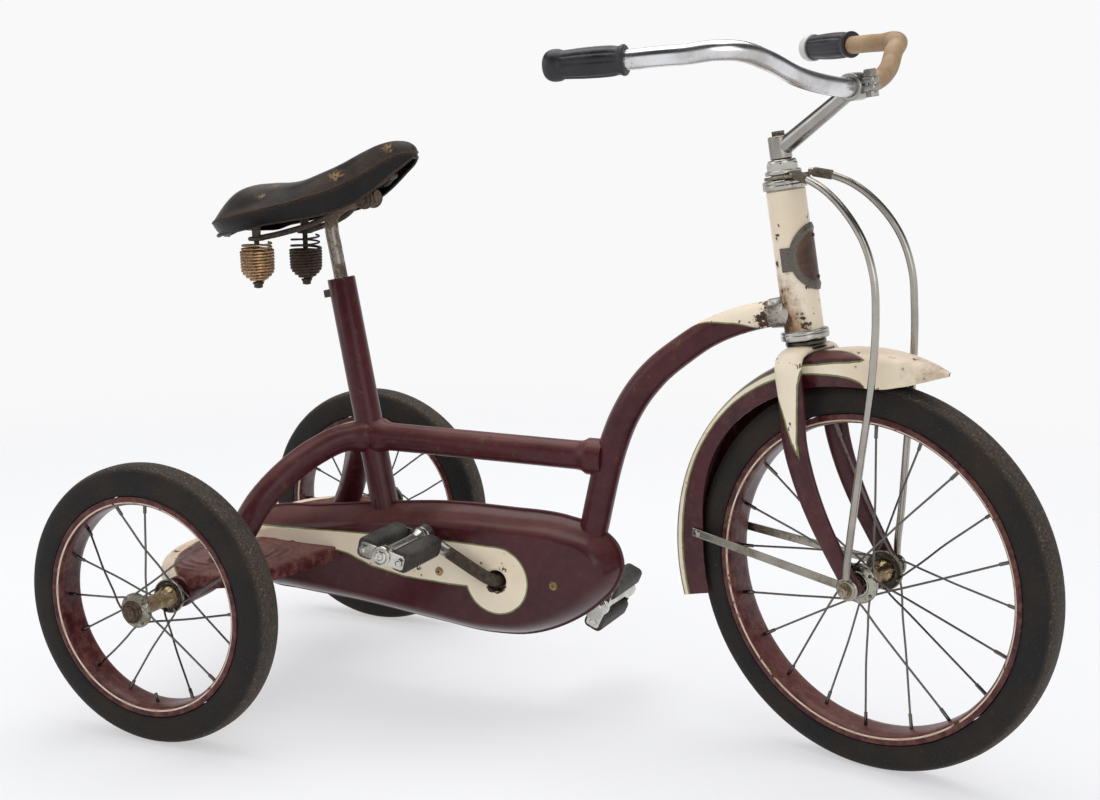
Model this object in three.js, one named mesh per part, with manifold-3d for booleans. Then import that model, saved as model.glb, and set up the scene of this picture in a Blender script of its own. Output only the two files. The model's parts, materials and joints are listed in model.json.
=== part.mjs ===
// Children's chain-drive tricycle, built in millimetres.
// +X forward, +Y rider's left, +Z up, origin on the floor under the rear axle.
import * as THREE from 'three';
import Module from 'manifold-3d';
import { mergeVertices } from 'three/addons/utils/BufferGeometryUtils.js';

const wasm = await Module();
wasm.setup();
const { Manifold } = wasm;
const V = (x, y, z) => new THREE.Vector3(x, y, z);
const RAD = Math.PI / 180;

// ---------------------------------------------------------------- driving dimensions
const GAP = 0.3;                 // running and fitting clearance between neighbours
const TUBE_R = 15.9;             // main frame tube, outside radius
const HEAD_END_R = 12.9;         // the backbone tapers to this at the head tube
const TUBE_WALL = 1.6;
const TRACK = 480;               // distance between the rear wheel planes
const REAR_WHEEL_R = 154;
const REAR_RIM_R = REAR_WHEEL_R - 32.6;   // where the tyre leaves the rim
const FRONT_WHEEL_R = 203.2;
const FRONT_RIM_R = FRONT_WHEEL_R - 31.1;
const TYRE_W = 37;
const RIM_DEPTH = 9;
const REAR_SPOKES = 16;
const FRONT_SPOKES = 20;
const SPOKE_R = 1.1;
const AXLE_R = 7;
const AXLE_Z = REAR_WHEEL_R;
const STAY_END = TRACK / 2 - 43; // outer end of each rear stay, from the middle

const HEAD_RAKE = 8.7;           // degrees from upright
const HEAD = V(648, 0, FRONT_WHEEL_R + 246.8);   // point on the head axis at the lower cup
const HEAD_R = 18.5;
const HEAD_LEN = 136;
const HEAD_TOP = HEAD_LEN + 3;   // upper end of the head tube, above HEAD
const STEERER_R = 12.7;
const FORK_OFFSET = 41;          // front axle ahead of the head axis
const FORK_DROP = 256;           // front axle below HEAD, along the axis
const STEER_REST = -15.4;        // rest pose: front wheel turned to the rider's right
const BLADE_Y = 40;

const CRANK_Z = 158;
const CRANK_LEN = 95;
const CRANK_REST = 150;          // degrees, right arm from +X towards +Z
const SPINDLE_R = 8;
const RING_TEETH = 11;
const COG_TEETH = 6;
const CHAIN_UNIT = 25.4;         // one block and one pair of side plates
const CHAIN_UNITS = 33;
const CHAIN_Y = -24;
const CASE_HALF = 35;            // half the case's width
const CASE_WALL = 1.3;
const SCREW_R = 2.1;
const screwSpots = [[239, 161], [380, 160]];   // case screws, rear then front
const PEDAL_Y = 60;              // inner end of the pedal barrel
const PEDAL_LEN = 86;
const PEDAL_PIN_R = 4.2;

const SEAT_LEAN = 10.6;          // seat tube, degrees from upright
const SEAT_FOOT = V(162.3, 0, 158);
const SEAT_TUBE_TOP = 331;       // along the tube from its foot
const POST_R = 7.8;
const TOP_TUBE_Z = 303;

// ---------------------------------------------------------------- derived layout
const pinRadius = (teeth) => {
  // radius of the pin circle: a block chord and a side-plate chord fill one tooth pitch
  let lo = CHAIN_UNIT * teeth / 8, hi = CHAIN_UNIT * teeth / 5;
  for (let i = 0; i < 50; i++) {
    const r = (lo + hi) / 2;
    const turn = Math.asin(0.2 * CHAIN_UNIT / r) + Math.asin(0.3 * CHAIN_UNIT / r);
    if (turn > Math.PI / teeth) lo = r; else hi = r;
  }
  return (lo + hi) / 2;
};
const RING_R = pinRadius(RING_TEETH);
const COG_R = pinRadius(COG_TEETH);
const chainCentres = () => {
  // centre distance that lets exactly CHAIN_UNITS close round both wheels
  let d = CHAIN_UNIT * CHAIN_UNITS / 2.6;
  for (let i = 0; i < 40; i++) {
    const a = Math.asin((RING_R - COG_R) / d);
    const wrapped = (Math.PI + 2 * a) * RING_TEETH / (2 * Math.PI)
      + (Math.PI - 2 * a) * COG_TEETH / (2 * Math.PI);
    const run = (CHAIN_UNITS - wrapped) * CHAIN_UNIT / 2;
    d = Math.hypot(run, RING_R - COG_R);
  }
  return d;
};
const CENTRES = chainCentres();
const CRANK_X = Math.sqrt(CENTRES ** 2 - (CRANK_Z - AXLE_Z) ** 2);
const CRANK = V(CRANK_X, 0, CRANK_Z);
const AXLE = V(0, 0, AXLE_Z);
const seatDir = V(-Math.sin(SEAT_LEAN * RAD), 0, Math.cos(SEAT_LEAN * RAD));
const onSeat = (s) => SEAT_FOOT.clone().addScaledVector(seatDir, s);
const headFixed = new THREE.Matrix4().makeTranslation(HEAD.x, HEAD.y, HEAD.z)
  .multiply(new THREE.Matrix4().makeRotationY(-HEAD_RAKE * RAD));
const STEER = headFixed.clone()
  .multiply(new THREE.Matrix4().makeRotationZ(STEER_REST * RAD));

// ---------------------------------------------------------------- shape tools
const solid = (geometry) => {
  const g = geometry.clone();
  g.deleteAttribute('normal');
  g.deleteAttribute('uv');
  const m = mergeVertices(g, 1e-4);
  const p = m.attributes.position.array, tri = [];
  let volume = 0;
  for (let i = 0; i < m.index.count; i += 3) {
    const [a, b, c] = [0, 1, 2].map((k) => m.index.array[i + k]);
    if (a === b || b === c || a === c) continue;
    tri.push(a, b, c);
    const [A, B, C] = [a, b, c].map((k) => V(p[3 * k], p[3 * k + 1], p[3 * k + 2]));
    volume += A.dot(B.cross(C));
  }
  if (volume < 0) tri.reverse();
  return new Manifold(new wasm.Mesh({
    numProp: 3, vertProperties: Float32Array.from(p), triVerts: Uint32Array.from(tri),
  }));
};
const moved = (geometry, matrix) => geometry.applyMatrix4(matrix);
const join = (...list) => Manifold.union(list.flat());

// turn a shape made along +Z so that it starts at a and points along dir
const aim = (a, dir) => new THREE.Matrix4().compose(a,
  new THREE.Quaternion().setFromUnitVectors(V(0, 0, 1), dir.clone().normalize()), V(1, 1, 1));
const rod = (a, b, r, seg = 12, r2 = r) => {
  const g = new THREE.CylinderGeometry(r2, r, a.distanceTo(b), seg).rotateX(Math.PI / 2);
  g.translate(0, 0, a.distanceTo(b) / 2);
  return solid(moved(g, aim(a, b.clone().sub(a))));
};
// closed profile of [radius, distance along axis] points, spun about the line through a
const spun = (profile, a, dir, seg = 16) => {
  const pts = profile.map(([r, s]) => new THREE.Vector2(r, s));
  if (pts[0].x > 1e-6 || pts[pts.length - 1].x > 1e-6) pts.push(pts[0].clone());
  const g = new THREE.LatheGeometry(pts, seg).rotateX(Math.PI / 2);
  return solid(moved(g, aim(a, dir)));
};
const circle = (r, seg) => Array.from({ length: seg }, (_, i) =>
  new THREE.Vector2(r * Math.cos(2 * Math.PI * i / seg), r * Math.sin(2 * Math.PI * i / seg)));
const bent = (points, r, steps = 16, seg = 10, wall = 0) => {
  const shape = new THREE.Shape(circle(r, seg));
  if (wall) shape.holes.push(new THREE.Path(circle(r - wall, seg)));
  const path = new THREE.CatmullRomCurve3(points, false, 'centripetal');
  return solid(new THREE.ExtrudeGeometry(shape, { steps, extrudePath: path }));
};
// flat outline in [x, z], thick along Y from y0 to y1
const slab = (outline, y0, y1, holes = []) => {
  const shape = new THREE.Shape(outline.map(([x, z]) => new THREE.Vector2(x, z)));
  for (const h of holes) shape.holes.push(new THREE.Path(h.map(([x, z]) => new THREE.Vector2(x, z))));
  const g = new THREE.ExtrudeGeometry(shape, { depth: y1 - y0, bevelEnabled: false, steps: 1 });
  return solid(g.rotateX(Math.PI / 2).translate(0, y1, 0));
};
const stadium = (ax, az, bx, bz, r, half = 4) => {
  const t = Math.atan2(bz - az, bx - ax), out = [];
  for (let i = 0; i <= half; i++) {
    const a = t - Math.PI / 2 + Math.PI * i / half;
    out.push([bx + r * Math.cos(a), bz + r * Math.sin(a)]);
  }
  for (let i = 0; i <= half; i++) {
    const a = t + Math.PI / 2 + Math.PI * i / half;
    out.push([ax + r * Math.cos(a), az + r * Math.sin(a)]);
  }
  return out;
};
// rectangle round the line from a to b, run past both ends
const bar = (ax, az, bx, bz, half, past) => {
  const n = Math.hypot(bx - ax, bz - az), [ux, uz] = [(bx - ax) / n, (bz - az) / n];
  return [[-1, -1], [1, -1], [1, 1], [-1, 1]].map(([i, k]) => {
    const [x, z] = i < 0 ? [ax, az] : [bx, bz];
    return [x + ux * past * i - uz * half * k, z + uz * past * i + ux * half * k];
  });
};
const box = (sx, sy, sz, at) => solid(new THREE.BoxGeometry(sx, sy, sz).translate(at.x, at.y, at.z));
// rings of equal length joined into one closed body, flat fans at both ends
const loft = (rings) => {
  const n = rings[0].length, pos = rings.flat().flatMap((p) => [p.x, p.y, p.z]), idx = [];
  for (let i = 0; i + 1 < rings.length; i++) for (let j = 0; j < n; j++) {
    const a = i * n + j, b = i * n + (j + 1) % n, c = a + n, d = b + n;
    idx.push(a, b, d, a, d, c);
  }
  for (const [row, flip] of [[0, true], [rings.length - 1, false]]) {
    const base = row * n;
    for (let j = 1; j + 1 < n; j++) {
      idx.push(base, base + (flip ? j + 1 : j), base + (flip ? j : j + 1));
    }
  }
  const g = new THREE.BufferGeometry();
  g.setAttribute('position', new THREE.Float32BufferAttribute(pos, 3));
  g.setIndex(idx);
  return solid(g);
};
// round bar along a curve in the XZ plane, its radius given by a function of the share run
const tapered = (points, steps, seg, radiusAt) => {
  const path = new THREE.CatmullRomCurve3(points, false, 'centripetal'), rings = [];
  for (let i = 0; i <= steps; i++) {
    const t = i / steps, p = path.getPointAt(t), d = path.getTangentAt(t), r = radiusAt(t);
    rings.push(circle(r, seg).map((c) => V(p.x - d.z * c.x, p.y + c.y, p.z + d.x * c.x)));
  }
  return loft(rings);
};
// sheet between matching outer and inner point grids, closed along its four edges
const sheet = (outer, inner) => {
  const rows = outer.length, n = outer[0].length, idx = [];
  const pos = [...outer.flat(), ...inner.flat()].flatMap((p) => [p.x, p.y, p.z]);
  const at = (side, i, j) => side * rows * n + i * n + j;
  const quad = (a, b, c, d) => idx.push(a, b, c, a, c, d);
  for (let i = 0; i + 1 < rows; i++) for (let j = 0; j + 1 < n; j++) {
    quad(at(0, i, j), at(0, i + 1, j), at(0, i + 1, j + 1), at(0, i, j + 1));
    quad(at(1, i, j), at(1, i, j + 1), at(1, i + 1, j + 1), at(1, i + 1, j));
  }
  for (let i = 0; i + 1 < rows; i++) {
    quad(at(0, i, 0), at(1, i, 0), at(1, i + 1, 0), at(0, i + 1, 0));
    quad(at(0, i, n - 1), at(0, i + 1, n - 1), at(1, i + 1, n - 1), at(1, i, n - 1));
  }
  for (let j = 0; j + 1 < n; j++) {
    quad(at(0, 0, j), at(0, 0, j + 1), at(1, 0, j + 1), at(1, 0, j));
    quad(at(0, rows - 1, j), at(1, rows - 1, j), at(1, rows - 1, j + 1), at(0, rows - 1, j + 1));
  }
  const g = new THREE.BufferGeometry();
  g.setAttribute('position', new THREE.Float32BufferAttribute(pos, 3));
  g.setIndex(idx);
  return solid(g);
};
const hexBar = (a, b, acrossFlats) => rod(a, b, acrossFlats / Math.sqrt(3), 6);

// ---------------------------------------------------------------- the part
const part = new THREE.Group();
part.name = 'tricycle';
const paints = {
  maroon: [0x5a2226, 0.1, 0.45], cream: [0xe1cd9f, 0.0, 0.5], chrome: [0xb8b8b4, 1.0, 0.25],
  steel: [0x8a8680, 0.9, 0.45], rubber: [0x2b2a28, 0.0, 0.85], leather: [0x2e2622, 0.0, 0.6],
  brass: [0x8f7a48, 0.9, 0.4], rust: [0x5b4636, 0.6, 0.7],
};
const add = (name, body, paint, matrix) => {
  const mesh = body.getMesh(), g = new THREE.BufferGeometry();
  const src = mesh.vertProperties, pos = new Float32Array(mesh.numVert * 3);
  for (let i = 0; i < mesh.numVert; i++) {
    for (let k = 0; k < 3; k++) pos[3 * i + k] = src[i * mesh.numProp + k];
  }
  g.setAttribute('position', new THREE.BufferAttribute(pos, 3));
  g.setIndex(new THREE.BufferAttribute(Uint32Array.from(mesh.triVerts), 1));
  if (matrix) g.applyMatrix4(matrix);
  g.computeVertexNormals();
  const [color, metalness, roughness] = paints[paint];
  const m = new THREE.Mesh(g, new THREE.MeshStandardMaterial({ color, metalness, roughness }));
  m.name = name;
  part.add(m);
};
const sides = [['right', -1], ['left', 1]];

// ---------------------------------------------------------------- frame tubes
const headTube = (extra, bore) => {
  const top = V(0, 0, HEAD_LEN + 3), foot = V(0, 0, 3);
  return spun([[bore, 0], [HEAD_R + extra, 0], [HEAD_R + extra, top.z - foot.z], [bore, top.z - foot.z]],
    foot, V(0, 0, 1), 18);
};
const headInWorld = (body) => body.transform(headFixed.elements);
// centreline from the head tube down to the crank, in shares of that span
const backbonePoints = [
  [0.9911, 1.0719], [0.8667, 1.0462], [0.7778, 1.0154], [0.686, 0.9658], [0.6089, 0.9041],
  [0.5289, 0.8288], [0.4638, 0.7414], [0.4119, 0.6404], [0.3793, 0.5479], [0.3527, 0.4452],
  [0.3275, 0.3219], [0.3038, 0.2021], [0.2801, 0.1096], [0.2386, 0.0411], [0.1764, 0.0068],
  [0.0889, 0], [0, 0],
].map(([x, z]) => V(CRANK_X + x * (HEAD.x - CRANK_X), 0, CRANK_Z + z * (HEAD.z - CRANK_Z)));
const backboneX = (z) => {
  const i = backbonePoints.findIndex((p) => p.z < z), a = backbonePoints[i - 1], b = backbonePoints[i];
  return a.x + (b.x - a.x) * (z - a.z) / (b.z - a.z);
};
const backboneBody = (grow) => tapered(backbonePoints, 14, 12,
  (t) => grow + HEAD_END_R + (TUBE_R - HEAD_END_R) * Math.min(1, t / 0.42) ** 0.8);
const backbone = (extra, wall) => (wall
  ? backboneBody(extra).subtract(backboneBody(extra - wall)) : backboneBody(extra));
const seatTube = (extra, wall) => {
  const len = SEAT_TUBE_TOP, r = TUBE_R + extra;
  return wall
    ? spun([[r - wall, 0], [r, 0], [r, len], [r - wall, len]], onSeat(0), seatDir, 12)
    : rod(onSeat(0), onSeat(len), r, 12);
};
const topTube = (extra, wall) => {
  const a = onSeat((TOP_TUBE_Z - SEAT_FOOT.z) / seatDir.z).setZ(TOP_TUBE_Z);
  const b = V(backboneX(TOP_TUBE_Z - 3) - 5, 0, TOP_TUBE_Z - 3), r = TUBE_R + extra;
  return wall
    ? rod(a, b, r).subtract(rod(a.clone().setX(a.x - 5), b.clone().setX(b.x + 5), r - wall))
    : rod(a, b, r);
};
const lowerTube = (extra) => rod(V(12, 0, AXLE_Z), V(CRANK_X - 12, 0, CRANK_Z), 12.5 + extra);
const shellAt = (c, r, y0, y1) => rod(V(c.x, y0, c.z), V(c.x, y1, c.z), r, 14);
const BB_R = 20, BB_Y0 = -15, BB_Y1 = 30;
// x, then shares of the stay's reach and of its drop from the top tube to the axle
const stayPoints = (s) => [
  [132, 0.0102, 1], [112, 0.1218, 0.9933], [90, 0.2386, 0.9128], [69, 0.4061, 0.7651],
  [50, 0.5279, 0.5772], [33, 0.599, 0.349], [16, 0.6447, 0.1477], [4, 0.7259, 0.0268],
  [0, 0.8223, 0], [0, 0.9137, 0], [0, 1, 0],
].map(([x, y, z]) => V(x, s * y * STAY_END, AXLE_Z + z * (TOP_TUBE_Z - AXLE_Z)));
const stay = (s, extra, wall) => bent(stayPoints(s), TUBE_R + extra, 10, 8, wall);

// post inside the case for one of its screws, from y = from out to the shell
const screwPost = ([x, z], from) => rod(V(x, from, z), V(x, -CASE_HALF + CASE_WALL + GAP, z), 5, 8);
const screwHole = ([x, z], from, r) => rod(V(x, from, z), V(x, -60, z), r, 8);
// brazed lug at the backbone joint: the head tube flares into a short socket
const headBore = STEERER_R + 3;
const lugSocket = rod(V(HEAD.x - 4, 0, HEAD.z + 20), V(HEAD.x - 36, 0, HEAD.z + 15.5), HEAD_END_R + 4, 14,
  HEAD_END_R + 2.2);
const lug = lugSocket.subtract(headInWorld(rod(V(0, 0, -20), V(0, 0, 190), HEAD_R - 1.5, 18)))
  .subtract(backbone(GAP, 0));
add('head_tube', headInWorld(headTube(0, headBore)).add(lug), 'cream');
add('backbone_tube', backbone(0, TUBE_WALL)
  .subtract(headInWorld(rod(V(0, 0, -20), V(0, 0, 190), HEAD_R + GAP, 18)))
  .subtract(shellAt(CRANK, BB_R + GAP, -60, 60))
  .subtract(screwHole(screwSpots[1], 0, 2))
  .add(screwPost(screwSpots[1], -TUBE_R + 0.6)
    .subtract(screwHole(screwSpots[1], 0, SCREW_R + GAP))), 'maroon');
const seatBolt = onSeat(SEAT_TUBE_TOP - 15);
const seatBoltOut = V(-Math.cos(SEAT_LEAN * RAD), 0, -Math.sin(SEAT_LEAN * RAD));
const seatAt = (d) => seatBolt.clone().addScaledVector(seatBoltOut, d);
add('seat_tube', seatTube(0, TUBE_WALL)
  .add(spun([[POST_R + 0.4, 0], [TUBE_R, 0], [TUBE_R, 36], [POST_R + 0.4, 36]],
    onSeat(SEAT_TUBE_TOP - 36), seatDir, 12))
  .subtract(rod(V(0, 0, AXLE_Z), CRANK, 12.5 + GAP))
  .subtract(rod(seatAt(0), seatAt(30), 3.2, 12)), 'maroon');
add('top_tube', topTube(0, TUBE_WALL).subtract(seatTube(GAP, 0)).subtract(backbone(GAP, 0)), 'maroon');
for (const [side, s] of sides) {
  add('stay_' + side, stay(s, 0, TUBE_WALL)
    .subtract(seatTube(GAP, 0)).subtract(topTube(GAP, 0))
    .subtract(box(300, 40, 80, V(140, -s * (20 - 1), TOP_TUBE_Z)))
    .subtract(rod(V(0, s * 60, AXLE_Z), V(0, s * (STAY_END + 13), AXLE_Z), AXLE_R + 1))
    .add(spun([[AXLE_R + GAP, 0], [TUBE_R - 0.5, 0], [TUBE_R - 0.5, 8], [AXLE_R + GAP, 8]],
      V(0, s * (STAY_END - 9), AXLE_Z), V(0, s, 0), 12)), 'maroon');
}
// bottom bracket shell, axle shell and the tube between them, with bearing cups pressed in
const shells = join(shellAt(CRANK, BB_R, BB_Y0, BB_Y1), shellAt(AXLE, 17, BB_Y0, BB_Y1), lowerTube(0));
add('lower_tube', shells
  .subtract(shellAt(CRANK, BB_R - 2, BB_Y0 + 6, BB_Y1 - 6))
  .subtract(shellAt(CRANK, SPINDLE_R + 1, BB_Y0 - 5, BB_Y1 + 5))
  .subtract(shellAt(AXLE, AXLE_R + GAP, BB_Y0 - 5, BB_Y1 + 5))
  .add(screwPost(screwSpots[0], -12))
  .subtract(screwHole(screwSpots[0], -18, SCREW_R + GAP)), 'maroon');

// ---------------------------------------------------------------- chain case
// plan outline in [x, z], read round from the rear
const caseEdge = [
  [-46, 158], [-41, 179], [-26, 196], [0, 206], [60, 212.5], [150, 224], [232, 232], [310, 232.5],
  [385, 229], [422, 219], [441, 202], [447, 182], [440, 160], [418, 135], [384, 111], [335, 92],
  [290, 88], [220, 94], [120, 104.5], [30, 110], [-8, 113], [-32, 125], [-43, 141],
];
const caseOutline = (inset) => caseEdge.map(([x, z], i) => {
  const [px, pz] = caseEdge.at(i - 1), [nx, nz] = caseEdge[(i + 1) % caseEdge.length];
  const n = Math.hypot(nx - px, nz - pz);
  return [x + (nz - pz) / n * inset, z - (nx - px) / n * inset];
});
const caseHalf = (s, inset) => {
  const shape = new THREE.Shape(caseOutline(inset).map(([x, z]) => new THREE.Vector2(x, z)));
  const dome = CASE_HALF - inset, flat = 3;
  const g = new THREE.ExtrudeGeometry(shape, {
    depth: flat, steps: 1, bevelEnabled: true, bevelThickness: dome - flat, bevelSize: 20,
    bevelOffset: -20, bevelSegments: 2,
  });
  // the extrusion domes both ways; only the half beyond the seam is kept
  g.rotateX(Math.PI / 2).translate(0, flat, 0);
  return solid(s > 0 ? g : g.scale(1, -1, 1));
};
for (const [side, s] of sides) {
  const beyond = box(700, 80, 400, V(200, s * (40 + 0.15), 160));
  const rim = slab(caseOutline(-2.2), Math.min(0, s * 1.6), Math.max(0, s * 1.6));
  let shell = join(caseHalf(s, 0), rim).intersect(beyond)
    .subtract(caseHalf(s, CASE_WALL))
    .subtract(seatTube(0.8, 0)).subtract(backbone(0.8, 0))
    .subtract(shellAt(CRANK, 13, -60, 60)).subtract(shellAt(AXLE, AXLE_R + 1, -60, 60));
  if (s < 0) {
    for (const spot of screwSpots) shell = shell.subtract(screwHole(spot, -20, SCREW_R + GAP));
  }
  add('chain_case_' + side, shell, 'maroon');
}
for (const [i, [x, z]] of screwSpots.entries()) {
  add(['case_screw_rear', 'case_screw_front'][i], spun([
    [0, 0], [SCREW_R, 0], [SCREW_R, 14.5], [4.6, 14.5], [4.6, 15.6], [3.4, 17.2], [0, 17.2],
  ], V(x, -CASE_HALF + 14.5 - GAP, z), V(0, -1, 0), 8), 'steel');
}

// ---------------------------------------------------------------- step deck, one each side
const DECK_IN = 36, DECK_OUT = STAY_END - 1;
const DECK_Z = AXLE_Z + 22;
const deckSpan = (y) => {
  const t = Math.max(0, Math.abs(y) - 70) / (DECK_OUT - 70);
  return 86 * Math.sqrt(Math.max(0.02, 1 - t * t));
};
for (const [side, s] of sides) {
  const outer = [], inner = [];
  const ys = [0, 0.2, 0.4, 0.6, 0.7875, 0.925, 1].map((t) => DECK_IN + t * (DECK_OUT - DECK_IN));
  for (const y of ys) {
    const a = deckSpan(y), rowO = [], rowI = [];
    for (let j = 0; j <= 8; j++) {
      const t = -1 + j / 4;
      const edge = Math.max(0, (Math.abs(t) - 0.82) / 0.18), far = Math.max(0, (y - DECK_OUT + 16) / 16);
      const drop = 16 * Math.max(edge ** 2, far ** 2);
      const r = Math.hypot(t * 0.9, (y - 95) / 105);
      const rib = r < 0.82 ? 1.2 * Math.cos(r * 11) : 0;
      rowO.push(V(10 + a * t, s * y, DECK_Z + rib - drop));
      rowI.push(V(10 + a * t * 0.975, s * (y - (far > 0 ? 1.2 * far : 0)), DECK_Z - 1.6 + rib - drop));
    }
    outer.push(s > 0 ? rowO.reverse() : rowO);
    inner.push(s > 0 ? rowI.reverse() : rowI);
  }
  add('deck_' + side, sheet(outer, inner).subtract(stay(s, 0.8, 0)), 'maroon');
}

// ---------------------------------------------------------------- chain drive
const rise = Math.atan2(CRANK_Z - AXLE_Z, CRANK_X), lean = Math.asin((RING_R - COG_R) / CENTRES);
const drivePoint = (unit) => {
  // walk the chain's pin line, measured in tooth pitches from the middle of the ring's wrap
  const wrapRing = (Math.PI + 2 * lean) * RING_TEETH / (2 * Math.PI);
  const wrapCog = (Math.PI - 2 * lean) * COG_TEETH / (2 * Math.PI);
  const run = (CHAIN_UNITS - wrapRing - wrapCog) / 2;
  let u = ((unit % CHAIN_UNITS) + CHAIN_UNITS) % CHAIN_UNITS + wrapRing / 2;
  if (u >= CHAIN_UNITS) u -= CHAIN_UNITS;
  const polar = (c, r, a) => [c.x + r * Math.cos(a), c.z + r * Math.sin(a)];
  const start = rise - Math.PI / 2 - lean;
  if (u < wrapRing) return polar(CRANK, RING_R, start + u / RING_TEETH * 2 * Math.PI);
  const top = rise + Math.PI / 2 + lean;
  if (u < wrapRing + run) {
    const t = (u - wrapRing) / run, a = polar(CRANK, RING_R, top), b = polar(AXLE, COG_R, top);
    return [a[0] + (b[0] - a[0]) * t, a[1] + (b[1] - a[1]) * t];
  }
  if (u < wrapRing + run + wrapCog) {
    return polar(AXLE, COG_R, top + (u - wrapRing - run) / COG_TEETH * 2 * Math.PI);
  }
  const t = (u - wrapRing - run - wrapCog) / run;
  const a = polar(AXLE, COG_R, start), b = polar(CRANK, RING_R, start);
  return [a[0] + (b[0] - a[0]) * t, a[1] + (b[1] - a[1]) * t];
};
const links = [];
for (let k = 0; k < CHAIN_UNITS; k++) {
  const [ax, az] = drivePoint(k - 0.3), [bx, bz] = drivePoint(k + 0.3), [cx, cz] = drivePoint(k + 0.7);
  links.push(slab(bar(bx, bz, cx, cz, 4, 2.2), CHAIN_Y - 3.5, CHAIN_Y + 3.5));
  for (const y of [-3.2, 2.1]) links.push(slab(bar(ax, az, bx, bz, 3.2, 0), CHAIN_Y + y, CHAIN_Y + y + 1.1));
}
add('chain', Manifold.union(links), 'steel');
const toothed = (c, r, teeth, phase, cutouts) => {
  const outline = [], pitch = 2 * Math.PI / teeth;
  for (let k = 0; k < teeth; k++) {
    for (const [da, dr] of [[-2.6 / r / pitch - 0.04, -5.2], [-1.0 / r / pitch, 3.2], [1.0 / r / pitch, 3.2],
      [2.6 / r / pitch + 0.04, -5.2]]) {
      const a = phase + (k + da) * pitch;
      outline.push([c.x + (r + dr) * Math.cos(a), c.z + (r + dr) * Math.sin(a)]);
    }
  }
  return slab(outline, CHAIN_Y - 1.5, CHAIN_Y + 1.5, cutouts);
};
const ringWindows = [0, 1, 2, 3, 4].map((k) => {
  const a = k * 2 * Math.PI / 5 + 0.3;
  return stadium(CRANK_X + 26 * Math.cos(a) - 4 * Math.sin(a), CRANK_Z + 26 * Math.sin(a) + 4 * Math.cos(a),
    CRANK_X + 26 * Math.cos(a) + 4 * Math.sin(a),
    CRANK_Z + 26 * Math.sin(a) - 4 * Math.cos(a), 6, 2).reverse();
});
const [gapX, gapZ] = drivePoint(Math.round(CHAIN_UNITS / 2) - 1);
const cogTooth = Math.atan2(gapZ - AXLE_Z, gapX);
const ringBody = toothed(CRANK, RING_R, RING_TEETH, rise, ringWindows);
add('chainring', ringBody.subtract(shellAt(CRANK, SPINDLE_R + GAP, -60, 60)), 'steel');
add('rear_sprocket', toothed(AXLE, COG_R, COG_TEETH, cogTooth, [])
  .add(shellAt(AXLE, 12, CHAIN_Y - 5, CHAIN_Y + 5)).subtract(shellAt(AXLE, AXLE_R + GAP, -60, 60)), 'steel');

// ---------------------------------------------------------------- crank and pedals
const crankDir = (s) => {
  const a = CRANK_REST * RAD;
  return V(-s * Math.cos(a), 0, -s * Math.sin(a));
};
const PEDAL_TILT = { right: -14 * RAD, left: 57 * RAD };
const crankHalf = (s) => {
  const d = crankDir(s), at = (l, y) => CRANK.clone().addScaledVector(d, l).setY(s * y);
  return join(
    bent([at(0, 0), at(0, 20), at(0, 33), at(5, 40), at(18, 44), at(40, 46), at(CRANK_LEN - 6, 49.5)],
      SPINDLE_R - 1.2, 8, 7),
    rod(at(CRANK_LEN, 43), at(CRANK_LEN, 57), 11, 12));
};
const spindleEnd = (s) => CRANK.clone().addScaledVector(crankDir(s), CRANK_LEN);
const pedalRods = sides.map(([, s]) => {
  const e = spindleEnd(s);
  return rod(V(e.x, s * 50, e.z), V(e.x, s * (PEDAL_Y + PEDAL_LEN - 6), e.z), PEDAL_PIN_R, 8);
});
add('crank', join(crankHalf(-1), crankHalf(1), shellAt(CRANK, SPINDLE_R, -21, 21), ...pedalRods), 'chrome');
for (const [side, s] of sides) {
  const e = spindleEnd(s), y = (d) => s * (PEDAL_Y + d);
  const tilt = PEDAL_TILT[side], c = Math.cos(tilt), n = Math.sin(tilt);
  const turn = (x, z) => [e.x + x * c - z * n, e.z + x * n + z * c];
  const at = (x, d, z) => { const [X, Z] = turn(x, z); return V(X, y(d), Z); };
  const platform = [[-29, -7], [-12, -9], [12, -9], [29, -7], [29, 8], [12, 9], [-12, 9], [-29, 8]]
    .map(([x, z]) => turn(x, z));
  const plateAt = (d) => slab(platform, Math.min(y(d), y(d + 2.5)), Math.max(y(d), y(d + 2.5)));
  const L = PEDAL_LEN;
  const bore = PEDAL_PIN_R + 3 * GAP;
  const barrel = spun([[bore, 0], [10.5, 0], [11, 6], [7.4, 15], [7.4, L - 20],
    [11, L - 8], [11, L - 1], [8, L + 1], [0, L + 1], [0, L - 3], [bore, L - 3]],
  V(e.x, y(0), e.z), V(0, s, 0), 8);
  const bolts = [-23.5, 23.5].map((x) => join(
    rod(at(x, 1, 0), at(x, L - 1, 0), 2.6, 6), rod(at(x, L - 3.4, 0), at(x, L + 1.6, 0), 5, 6)));
  add('pedal_frame_' + side, join(plateAt(3).subtract(rod(at(0, -9, 0), at(0, 20, 0), 8, 8)),
    plateAt(L - 6).subtract(rod(at(0, L - 20, 0), at(0, L + 9, 0), 8, 8)), barrel, ...bolts), 'chrome');
  for (const [where, x] of [['rear', -23], ['front', 23]]) {
    const block = [[-10, -8], [-5, -13], [5, -13], [10, -8], [10, 8], [5, 13], [-5, 13], [-10, 8]]
      .map(([a, b]) => turn(x + a, b));
    const d0 = y(5.5 + GAP), d1 = y(L - 6 - GAP);
    add('pedal_rubber_' + side + '_' + where, slab(block, Math.min(d0, d1), Math.max(d0, d1))
      .subtract(rod(at(x < 0 ? -23.5 : 23.5, 0, 0), at(x < 0 ? -23.5 : 23.5, L, 0), 2.6 + GAP, 6)), 'rubber');
  }
}

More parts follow.
